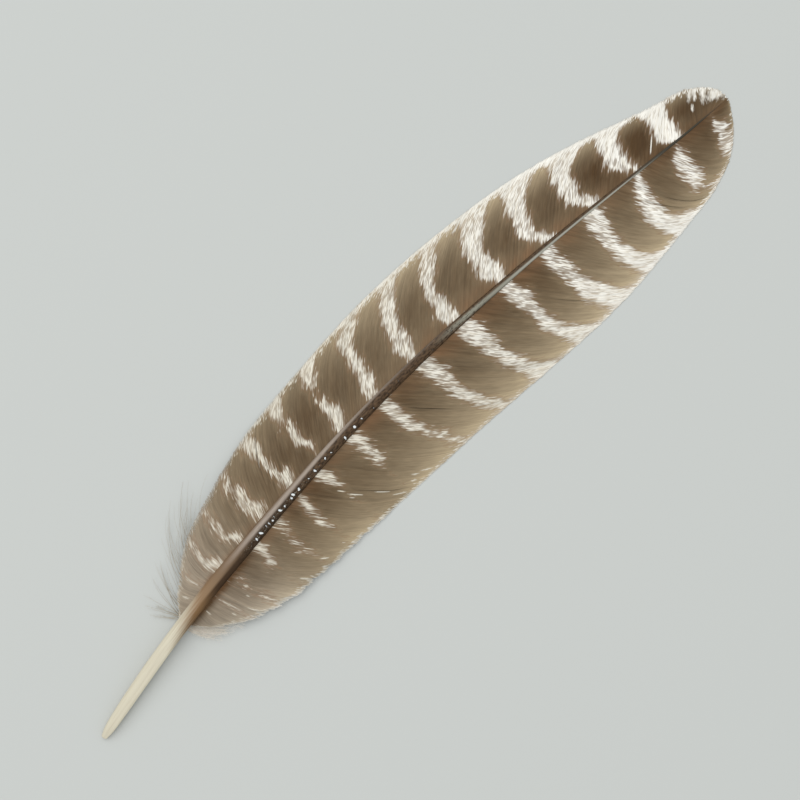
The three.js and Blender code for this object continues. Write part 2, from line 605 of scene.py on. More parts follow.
    def white(self, g: BarbGraph) -> Socket:
        """Mixes the bars' cream, which is milky from the middle on and dull in places.

        Args:
            g: The material's nodes.

        Returns:
            The bars' own colour.
        """
        fringe = g.attribute("fringe")
        clear = g.math("MAXIMUM", g.ramp(g.root, 0.9, 2.3), g.ramp(fringe, 0.6, 1.1))
        dull = g.ramp(g.grey(self.dulling), 0.45, 0.75, 0.0, 0.45)
        dull = g.math("MULTIPLY", dull, g.ramp(fringe, 0.1, 0.7, 1.0, 0.35))
        return g.mix(dull, g.mix(clear, self.cream, self.milk), self.oat)

    def material(self, name: str) -> bpy.types.Material:
        """Builds the material.

        Args:
            name: Its name.

        Returns:
            The material.
        """
        g = BarbGraph(name)
        edge = self.bar_edge(g)
        whiteness = self.whiteness(g, edge)
        colour = g.mix(whiteness, self.brown(g, edge), self.white(g))
        upward = g.add("SeparateXYZ", g.add("NewGeometry", out="Normal"), out="Z")
        below = g.ramp(g.math("MULTIPLY", upward, -1.0), 0.1, 0.5, 0.0, 0.5)
        colour = g.mix(below, colour, self.underside)
        depth = g.math("MULTIPLY_ADD", whiteness, -0.16, 0.34)
        # The tint scales the colour: each barb's own shade, and the creases' painted shadow and shine
        fibre = g.swing(g.grey(self.fibres), depth, g.math("ADD", 1.0, g.attribute("tint")))
        shaded = g.add("VectorMath", colour, operation="SCALE")
        g.feed(shaded.node.inputs["Scale"], fibre)
        return g.finish(shaded, self.roughness, self.shine)


@dataclass(frozen=True)
class Vane:
    """One side's web of barbs. Distances in millimetres, angles in degrees from the shaft.

    The profiles run along the shaft, but for fade_shape, which runs over the share of the
    way out. Fade, with fade_outward times fade_shape, is how pale the brown is. Fringe is how
    white a wide strip along the edge is. The rim is a narrow pale strip there: partly the
    barbs' own pale tips, partly painted light that lifts the shade along the edge. Boldness
    is how strongly the markings show, and loose how far the bars are flecked away inside
    loose_share. Fray and clumps are how far single barbs and tufts of them end out of line,
    and wave is how far the barbs bend to and fro. Swells are the height and length of the
    web's low waves.
    Tints are how much the shade differs, from barb to barb, tuft to tuft and patch to patch.
    """

    # What differs from side to side
    side: Side
    node: str
    edge: Profile
    root_angle: Profile
    edge_angle: Profile
    bars: tuple[Bar, ...]
    streaks: tuple[Streak, ...]
    creases: tuple[Crease, ...]
    fade: Profile
    fade_outward: Profile
    fade_shape: Profile
    fringe: Profile
    fringe_width: float
    loose: Profile
    seed: int

    # How the barbs grow and end
    barbs: int = 520
    trial_barbs: int = 300
    strand: Strand = Strand(4, 15)
    last_root: float = 281.4
    root_share: float = 0.55
    tip: float = 287.1
    stride: float = 0.2
    reach: float = 75.0
    bend_power: float = 3.2
    wave: Profile = Profile(((46, 9), (80, 5), (110, 2.5), (150, 1.5), (286, 1.2)))
    wave_turn: float = 0.42
    wave_change: float = 23.0
    fray: Profile = Profile(((46, 0.3), (75, 0.16), (110, 0.12), (286, 0.12)))
    clumps: Profile = Profile(((46, 0.15), (286, 0.15)))
    clump_width: float = 5.3
    shortest: float = 1.5
    taper: Profile = Profile(((46, 5.0), (80, 4.0), (110, 2.6), (140, 1.6), (265, 1.2), (276, 0.8)))
    longest_taper: float = 0.3

    # How high the web stands, and each barb's width and depth
    root_height: float = 0.35
    edge_height: float = 0.16
    fall_power: float = 1.7
    fall_at_start: float = 0.45
    fall_full_from: float = 120.0
    swells: Pairs = ((0.16, 19.0), (0.07, 6.5))
    swell_power: float = 0.8
    overlap: float = 1.35
    half_widths: Span = (0.08, 0.7)
    ridge: float = 0.045
    keel: float = 0.14
    clearance: float = 0.01
    end_width: float = 0.35
    end_keel: float = 0.4

    # The markings, and the painted shade beside the shaft
    boldness: Profile = Profile((
        (46, 0.45), (60, 0.7), (75, 0.83), (90, 0.93), (110, 0.98), (150, 1),
    ))
    # The narrow pale rim: the barbs' own pale tips, and painted light that lifts the shade along the
    # edge
    rim: Profile = Profile(((46, 0.5), (80, 0.32), (125, 0.42), (150, 0.2), (200, 0.05)))
    rim_width: float = 1.5
    loose_share: Span = (0.4, 0.55)
    last_share: float = 1.05
    warmth: Profile = Profile(((46, 0.4), (200, 0.4), (255, 0.15)))
    warm_share: Span = (0.03, 0.30)
    # How strongly painted shade darkens the barbs beside the shaft, where its shadow falls
    shade: float = 0.0
    shade_width: float = 1.6
    shade_end: Span = (55.0, 85.0)

    # How much the shade differs, and how far a barb's sides stand off its number
    barb_tint: float = 0.045
    tuft_tint: float = 0.03
    young_tuft_tint: float = 0.1
    tuft_width: float = 2.6
    patch_tint: float = 0.04
    patch_width: float = 9.0
    barb_side: float = 0.9

    def walk(self, roots: np.ndarray) -> np.ndarray:
        """Steps outwards along every barb, on past the vane's edge.

        Args:
            roots: Where each barb grows from the shaft.

        Returns:
            Distances along and out, as [step, along/out, barb].
        """
        along = roots.copy()
        out = PLAN.half_width.at(roots) * self.root_share
        first = self.root_angle.at(roots)
        lean = ripple(roots, self.wave_change, self.seed + 7) * math.pi
        path = [(along, out)]
        for i in range(int(self.reach / self.stride)):
            share = np.clip(out / self.edge.at(along), 0, 1)
            angle = first + (self.edge_angle.at(along) - first) * share ** self.bend_power
            angle += self.wave.at(along) * np.sin(i * self.stride * self.wave_turn + lean) * share
            along = along + np.cos(np.radians(angle)) * self.stride
            out = out + np.sin(np.radians(angle)) * self.stride
            path.append((along, out))
        return np.array(path)

    def lengths(self, path: np.ndarray) -> np.ndarray:
        """How far each barb goes until it meets the vane's edge."""
        beyond = (path[:, 1] >= self.edge.at(path[:, 0])) | (path[:, 0] > self.tip)
        return np.where(beyond.any(0), beyond.argmax(0), len(path) - 1) * self.stride

    def roots(self) -> np.ndarray:
        """Spaces the barbs evenly across the vane, measured halfway along them.

        Returns:
            Where each barb grows from the shaft.
        """
        trial = np.linspace(PLAN.vane_start, self.last_root, self.trial_barbs)
        path = self.walk(trial)
        column = np.arange(self.trial_barbs)
        halfway = (self.lengths(path) / self.stride * 0.5).astype(int)
        middle, beyond = (
            PLAN.flat(path[step, 0, column], path[step, 1, column])
            for step in (halfway, halfway + 2)
        )
        run = (beyond - middle) / np.linalg.norm(beyond - middle, axis=1, keepdims=True)
        apart = np.gradient(middle, axis=0)
        gaps = np.abs(apart[:, 0] * run[:, 1] - apart[:, 1] * run[:, 0])
        passed = np.concatenate([[0], np.cumsum((gaps[1:] + gaps[:-1]) / 2)])
        return np.interp(np.linspace(0, passed[-1], self.barbs), passed, trial)

    def trace(self, roots: np.ndarray) -> tuple[np.ndarray, np.ndarray]:
        """Follows each barb from the shaft out to the vane's edge.

        Args:
            roots: Where each barb grows from the shaft.

        Returns:
            Distances along and out for each barb and ring.
        """
        path = self.walk(roots)
        rng = np.random.default_rng(self.seed)
        ragged = self.fray.at(roots) * rng.normal(size=len(roots))
        ragged += self.clumps.at(roots) * ripple(roots, self.clump_width, self.seed + 5)
        length = np.maximum(self.lengths(path) + ragged, self.shortest)
        taper = np.minimum(self.taper.at(roots), length * self.longest_taper)
        spread = np.linspace(0, 1, self.strand.steps) * (length - taper)[:, None]
        at = np.concatenate([spread, length[:, None]], 1) / self.stride
        low = np.clip(at.astype(int), 0, len(path) - 2)
        rest = (at - low)[..., None]
        which = np.arange(len(roots))[:, None]
        points = path[low, :, which] * (1 - rest) + path[low + 1, :, which] * rest
        return points[..., 0], points[..., 1]

    def height(self, along: np.ndarray, share: np.ndarray, roots: np.ndarray) -> np.ndarray:
        """How high the web stands over the surface.

        Args:
            along: Distance from the quill's end.
            share: Share of the way out to the edge.
            roots: Where each point's barb grows from the shaft.

        Returns:
            The height of the web's middle.
        """
        share = np.clip(share, 0, 1)
        root = PLAN.centre_height(along) + self.root_height * PLAN.half_width.at(along)
        root = np.maximum(root, self.edge_height)
        rise = (along - PLAN.vane_start) / (self.fall_full_from - PLAN.vane_start)
        fall = np.minimum(self.fall_at_start + (1 - self.fall_at_start) * rise, 1)
        plain = root - fall * (root - self.edge_height) * share ** self.fall_power
        swell = sum(
            height * ripple(roots, length, self.seed + number)
            for number, (height, length) in enumerate(self.swells, 1)
        )
        return plain + swell * np.sin(math.pi * share) ** self.swell_power

    def among_bars(self, along: np.ndarray, share: np.ndarray) -> dict[str, np.ndarray]:
        """Where each point lies among the bars.

        Args:
            along: Distance from the quill's end.
            share: Share of the way out to the edge.

        Returns:
            bar_turn, whole on a bar's middle line; bar_half, half the nearest bar's width in
            turns; bar_gap, how many millimetres a turn is; and bar_firm, how firm that bar is.
        """
        place, flat = along.reshape(-1), np.clip(share.reshape(-1), 0, self.last_share)
        middles = np.array([bar.middle(flat) for bar in self.bars])
        halves = np.array([bar.half(flat) for bar in self.bars])
        firms = np.array([Profile(bar.firm).at(flat) for bar in self.bars])
        gaps = np.gradient(middles, axis=0)
        last = len(self.bars) - 1
        before = np.clip((middles <= place).sum(0) - 1, 0, last - 1)
        column = np.arange(len(place))
        here, there = middles[before, column], middles[before + 1, column]
        part = (place - here) / (there - here)
        outside = (part < -0.5) | (part > 1.5)
        part = np.clip(part, -0.5, 1.5)
        nearest = before + (part > 0.5)
        flecked = self.loose.at(place) * (1 - smoothstep(*self.loose_share, flat))
        values = {
            "bar_turn": before + part,
            "bar_half": np.where(outside, -1, halves[nearest, column] / gaps[nearest, column]),
            "bar_gap": gaps[before, column] * (1 - part) + gaps[before + 1, column] * part,
            "bar_firm": firms[nearest, column] * (1 - flecked),
        }
        return {key: value.reshape(along.shape) for key, value in values.items()}

    def streaked(self, along: np.ndarray, share: np.ndarray, walked: np.ndarray) -> np.ndarray:
        """How deep inside a pale streak each point lies.

        Args:
            along: Distance from the quill's end.
            share: Share of the way out to the edge.
            walked: Distance from the barb's own root.

        Returns:
            The depth, 1 in a streak's middle and below 0 outside.
        """
        depth = np.full(along.shape, -1.0)
        numbers = np.arange(len(along))[:, None]
        for streak in self.streaks:
            off = np.hypot(along - streak.along, (share - streak.share) * self.edge.at(along))
            barb, ring = np.unravel_index(off.argmin(), off.shape)
            sideways = (numbers - barb) / (streak.barbs / 2)
            lengthways = (walked - walked[barb, ring]) / (streak.length / 2)
            depth = np.maximum(depth, 1 - np.hypot(sideways, lengthways))
        return depth

    def creased(self, roots: np.ndarray, share: np.ndarray) -> tuple[np.ndarray, np.ndarray]:
        """Lets barbs slip under their neighbours along the creases, and paints their shadow and
        shine.

        Args:
            roots: Where each point's barb grows from the shaft.
            share: Share of the way out to the edge.

        Returns:
            How far each point drops, and how much painted shadow, less painted shine, darkens it.
        """
        drop = np.zeros_like(share)
        dark = np.zeros_like(share)
        for crease in self.creases:
            behind = crease.root - roots
            middle = (crease.start + crease.end) / 2
            spread = (crease.end - crease.start) / 2
            run = np.clip(1 - ((share - middle) / spread) ** 2, 0, 1)
            drop += crease.step * run * np.where(behind > 0, np.exp(-behind / crease.slope), 0)
            # Painted shadow behind each crease, and painted shine before it
            strength, reach = crease.shadow
            dark += strength * run * np.where(behind > 0, np.exp(-behind / reach), 0)
            strength, reach = crease.shine
            dark -= strength * run * np.where(behind < 0, np.exp(behind / reach), 0)
        return drop, dark

    def build(self) -> bpy.types.Object:
        """Makes every barb, wide enough to overlap the next, and joins them in one mesh.

        Returns:
            The web of barbs.
        """
        roots = self.roots()
        along, out = self.trace(roots)
        share = out / self.edge.at(along)
        every_root = np.broadcast_to(roots[:, None], along.shape)
        height = self.height(along, share, every_root)
        drop, dark = self.creased(every_root, share)
        height = np.maximum(height - drop, self.keel + self.clearance)

        middle = PLAN.flat(along, out * self.side.value)
        run = np.gradient(middle, axis=1)
        run /= np.linalg.norm(run, axis=-1, keepdims=True)
        across = np.stack([-run[..., 1], run[..., 0]], -1)
        apart = np.abs((np.gradient(middle, axis=0) * across).sum(-1))
        half = np.clip(apart * 0.5 * self.overlap, *self.half_widths)
        half[:, -1] *= self.end_width
        keel = np.full(along.shape, self.keel)
        keel[:, -2:] *= self.end_keel

        base = np.concatenate([middle, height[..., None]], -1)
        sideways = np.concatenate([across, np.zeros_like(height)[..., None]], -1) * half[..., None]
        up = np.array([0.0, 0.0, 1.0])
        rings = np.stack([
            base + sideways,
            base + up * self.ridge,
            base - sideways,
            base - up * keel[..., None],
        ], 2)
        rings = rings * MM + PLAN.origin()
        steps = np.diff(middle, axis=1, prepend=middle[:, :1])
        walked = np.cumsum(np.linalg.norm(steps, axis=-1), 1)
        values = self.point_values(along, share, every_root, walked, dark)
        uv = np.stack([every_root, walked], -1) / UV_MM
        return joined_strands(self.node + "_barbs", self.strand, rings, values, uv)

    def point_values(self, along: np.ndarray, share: np.ndarray, roots: np.ndarray,
                     walked: np.ndarray, dark: np.ndarray) -> dict[str, np.ndarray]:
        """The numbers that the finish reads at each point.

        Args:
            along: Distance from the quill's end.
            share: Share of the way out to the edge.
            roots: Where each point's barb grows from the shaft.
            walked: Distance from the barb's own root.
            dark: How much the creases' painted shadow, less their painted shine, darkens each point.

        Returns:
            The named numbers.
        """
        rng = np.random.default_rng(self.seed + 9)
        tint = rng.normal(size=(len(roots), 1)) * self.barb_tint
        tuft_tint = self.tuft_tint + self.young_tuft_tint * (1 - self.boldness.at(roots))
        tufts = tuft_tint * ripple(roots, self.tuft_width, self.seed + 3)
        tufts += self.patch_tint * ripple(roots, self.patch_width, self.seed + 4)
        fade = self.fade.at(along) + self.fade_outward.at(along) * self.fade_shape.at(share)
        out = share * self.edge.at(along)
        from_edge = self.edge.at(along) - out
        fringe = self.fringe.at(along) * (1 - smoothstep(0, self.fringe_width, from_edge))
        # The narrow rim adds the edge's own pale tips and painted light that lifts the shade along
        # the edge
        fringe += self.rim.at(along) * (1 - smoothstep(0, self.rim_width, from_edge))
        # Painted shade: the barbs beside the shaft are darkened where its shadow falls, dying away
        # over shade_end
        beside = np.exp(-(((out - PLAN.half_width.at(along)) / self.shade_width) ** 2))
        shade = self.shade * beside * (1 - smoothstep(*self.shade_end, along))
        number = np.arange(len(roots))[:, None, None] * 2.0
        corners = np.array([-1.0, 0.0, 1.0, 0.0]) * self.barb_side * self.side.value
        return {
            **self.among_bars(along, share),
            "streak": self.streaked(along, share, walked),
            "fringe": fringe,
            "fade": fade - shade,
            "bold": np.broadcast_to(self.boldness.at(along), along.shape),
            "warmth": self.warmth.at(along) * (1 - smoothstep(*self.warm_share, share)),
            "tint": tint + tufts - dark,
            "barb": np.broadcast_to(number + corners, (*along.shape, 4)),
        }

    def dress(self, piece: bpy.types.Object) -> None:
        """Gives the barbs their finish and their place in the frame."""
        hand_in(piece, VaneFinish().material(self.node), self.node)


def leading_vane() -> Vane:
    """The narrow vane, on the bowed side of the shaft."""
    return Vane(
        side=Side.LEADING,
        node="leading_vane",
        edge=Profile((
            (46, 2.6), (48, 4.9), (52, 8.1), (56, 10.7), (62, 14.3), (66, 16.1), (82, 20), (98, 23),
            (130, 25), (162, 26.4), (194, 25.6), (226, 22.4), (242, 19.4), (258, 15.6), (268, 13.4),
            (275, 12.1), (280, 10.2), (283.5, 7.7), (285.6, 5.4), (286.6, 3.5), (287.1, 0.9),
        )),
        root_angle=Profile((
            (46, 128), (52, 118), (57, 105), (62, 92), (68, 82), (76, 73), (84, 67), (94, 62),
            (110, 56), (130, 50), (150, 48), (240, 47), (262, 49), (270, 54), (275, 57), (278, 50),
            (280, 32), (281.4, 0),
        )),
        edge_angle=Profile((
            (46, 75), (54, 62), (62, 42), (70, 42), (78, 48), (86, 42), (94, 36), (110, 30),
            (130, 24), (150, 20), (180, 20), (220, 17), (240, 14), (256, 20), (270, 27), (278, 42),
            (283, 45), (286.5, 10),
        )),
        bars=(
            Bar(((0.1, 57.9, 56.3), (0.25, 57.9, 57.5), (0.5, 57.5, 56.7), (0.75, 57.4, 56.6),
                 (0.9, 57.6, 56.2)), ((0, 1), (1, 0.9))),
            Bar(((0.1, 64.6, 68.2), (0.25, 63.6, 67.7), (0.35, 62.8, 66.2), (0.5, 63, 65.1),
                 (0.75, 64.4, 66.3), (1, 65, 66)), ((0, 1), (0.4, 1), (0.6, 0.8), (1, 0.75))),
            Bar(((0.1, 75.6, 76.8), (0.2, 75, 78.4), (0.4, 73.1, 75.5), (0.5, 74, 75.2),
                 (0.7, 74.4, 76.4), (0.8, 75, 76.5), (1, 75.8, 76.8)),
                ((0, 0.8), (0.7, 0.7), (1, 0.5))),
            Bar(((0.1, 85.4, 88), (0.25, 85.4, 90.2), (0.4, 85, 88.5), (0.5, 85, 89.5),
                 (0.65, 86, 89.5), (0.75, 84.8, 88.6), (0.9, 86.2, 89.6), (1, 87.5, 89)),
                ((0, 0.8), (0.75, 0.6), (1, 0.2))),
            Bar(((0.1, 98.4, 102), (0.25, 99, 104), (0.4, 98.6, 101.5), (0.5, 98.4, 102),
                 (0.6, 99.4, 101.6), (0.75, 99.8, 103.4), (0.9, 98.7, 103.5), (1, 99, 103)),
                ((0, 1), (0.5, 0.7), (0.75, 0.9), (1, 0.5))),
            Bar(((0.12, 114, 113), (0.25, 113.6, 115.8), (0.35, 111.6, 114), (0.5, 111.8, 115),
                 (0.65, 112.4, 114.8), (0.8, 112.5, 116.2), (0.95, 112.5, 119)),
                ((0, 1), (0.5, 0.9), (0.6, 0.4), (0.8, 0.7), (1, 0.75))),
            Bar(((0.1, 121.8, 125.5), (0.25, 123.5, 128.7), (0.4, 124.8, 128), (0.5, 124.8, 127),
                 (0.6, 124.6, 126.4), (0.75, 126.3, 130), (0.9, 127, 133), (1, 128, 136)),
                ((0, 1), (0.45, 0.9), (0.55, 0.35), (0.75, 0.7), (1, 0.8))),
            Bar(((0.1, 137.3, 141.5), (0.25, 138.5, 144), (0.4, 140, 144), (0.5, 140, 145),
                 (0.65, 141.5, 145.5), (0.75, 141.6, 147), (0.85, 142, 151), (0.95, 146, 155)),
                ((0, 1), (0.7, 0.8), (1, 0.5))),
            Bar(((0.08, 155.6, 157.6), (0.2, 153.8, 159.5), (0.35, 154, 160.4), (0.5, 156.4, 161.4),
                 (0.65, 158, 164), (0.8, 160.4, 167), (0.95, 163.5, 172)), ((0, 1), (1, 0.6))),
            Bar(((0.07, 173.5, 177.6), (0.15, 170.5, 176), (0.25, 170.8, 177), (0.4, 172.4, 176.5),
                 (0.5, 172.3, 175.7), (0.6, 173.8, 179), (0.75, 176, 182), (0.9, 179, 186),
                 (1, 181, 190)), ((0, 1), (1, 0.6))),
            Bar(((0.07, 192.4, 196), (0.15, 190.5, 197), (0.25, 189.2, 197.4), (0.4, 191, 196.6),
                 (0.5, 191, 196.2), (0.6, 191.2, 199), (0.75, 193.5, 203), (0.85, 194.5, 206),
                 (1, 197, 211)), ((0, 1), (1, 0.65))),
            Bar(((0.04, 213, 217), (0.15, 210.4, 215), (0.25, 208.5, 213), (0.35, 207.2, 213),
                 (0.5, 208.4, 214.4), (0.65, 208.6, 215), (0.75, 210, 218), (0.85, 210.4, 221),
                 (1, 212, 227)), ((0, 1), (1, 0.75))),
            Bar(((0.04, 231, 235), (0.15, 228, 233), (0.25, 225.6, 231.5), (0.4, 226, 232),
                 (0.55, 226.3, 233), (0.7, 227, 234.5), (0.8, 228.4, 238), (0.9, 229, 242),
                 (1, 228, 248)), ((0, 1), (1, 0.8))),
            Bar(((0.02, 249, 251.5), (0.12, 247.4, 251), (0.25, 244, 250), (0.4, 242.4, 250),
                 (0.55, 243.4, 250.5), (0.7, 244.5, 251.5), (0.85, 245.4, 254), (1, 245, 260)),
                ((0, 0.85), (1, 1))),
            Bar(((0.0, 266, 268), (0.08, 263, 268), (0.2, 261, 268.4), (0.3, 260.8, 269),
                 (0.5, 261.5, 269.3), (0.7, 261.8, 269.5), (0.85, 261.5, 270), (1, 260.5, 271.5)),
                ((0, 1.3), (1, 1.3))),
        ),
        streaks=(
            Streak(51.7, 0.54, 3.0, 2.4), Streak(56.9, 0.58, 6.6, 2.4),
            Streak(258.6, 0.28, 6.5, 1.5), Streak(276.4, 0.44, 2.5, 3.0),
            Streak(278.6, 0.84, 4.5, 6.0), Streak(279.2, 0.66, 3.0, 3.6),
            Streak(282.0, 0.72, 6.5, 6.0), Streak(284.8, 0.62, 5.0, 12.0),
            Streak(274.6, 0.95, 2.5, 6.0), Streak(280.4, 0.93, 3.5, 7.5),
        ),
        creases=(Crease(150, 0.5, 0.9, 0.15), Crease(92, 0.4, 1.0, 0.2)),
        fade=Profile((
            (46, 0.60), (54, 0.58), (62, 0.50), (71, 0.38), (93, 0.18), (106, 0.13), (119, 0.12),
            (133, 0.16), (149, 0.22), (184, 0.18), (204, 0.18), (222, 0.15), (239, 0.06),
            (257, 0.01), (273, 0.055), (286, 0.12),
        )),
        fade_outward=Profile((
            (46, 0.16), (93, 0.14), (106, 0.24), (119, 0.20), (149, 0.36), (204, 0.55), (230, 0.60),
            (243, 0.60), (257, 0.35), (286, 0.35),
        )),
        fade_shape=Profile((
            (0, 0.1), (0.15, 0.08), (0.3, -0.05), (0.5, -0.05), (0.7, 0.3), (0.85, 0.9), (1, 1.8),
        )),
        fringe=Profile((
            (46, 0.2), (90, 0.4), (105, 0.65), (119, 0.7), (133, 0.75), (160, 0.98), (190, 1.0),
            (240, 1.12), (257, 0.82), (274, 0.75), (286, 0.8),
        )),
        fringe_width=3.4,
        rim=Profile((
            (46, 0.6), (66, 0.3), (80, 0.08), (95, 0), (115, 0.12), (135, 0), (286, 0),
        )),
        loose=Profile((
            (80, 0.08), (105, 0.15), (140, 0.3), (172, 0.18), (192, 0.1), (212, 0.25), (245, 0.2),
        )),
        warmth=Profile(((46, 0.8), (60, 0.75), (75, 0.4), (200, 0.4), (255, 0.15))),
        seed=11,
    )


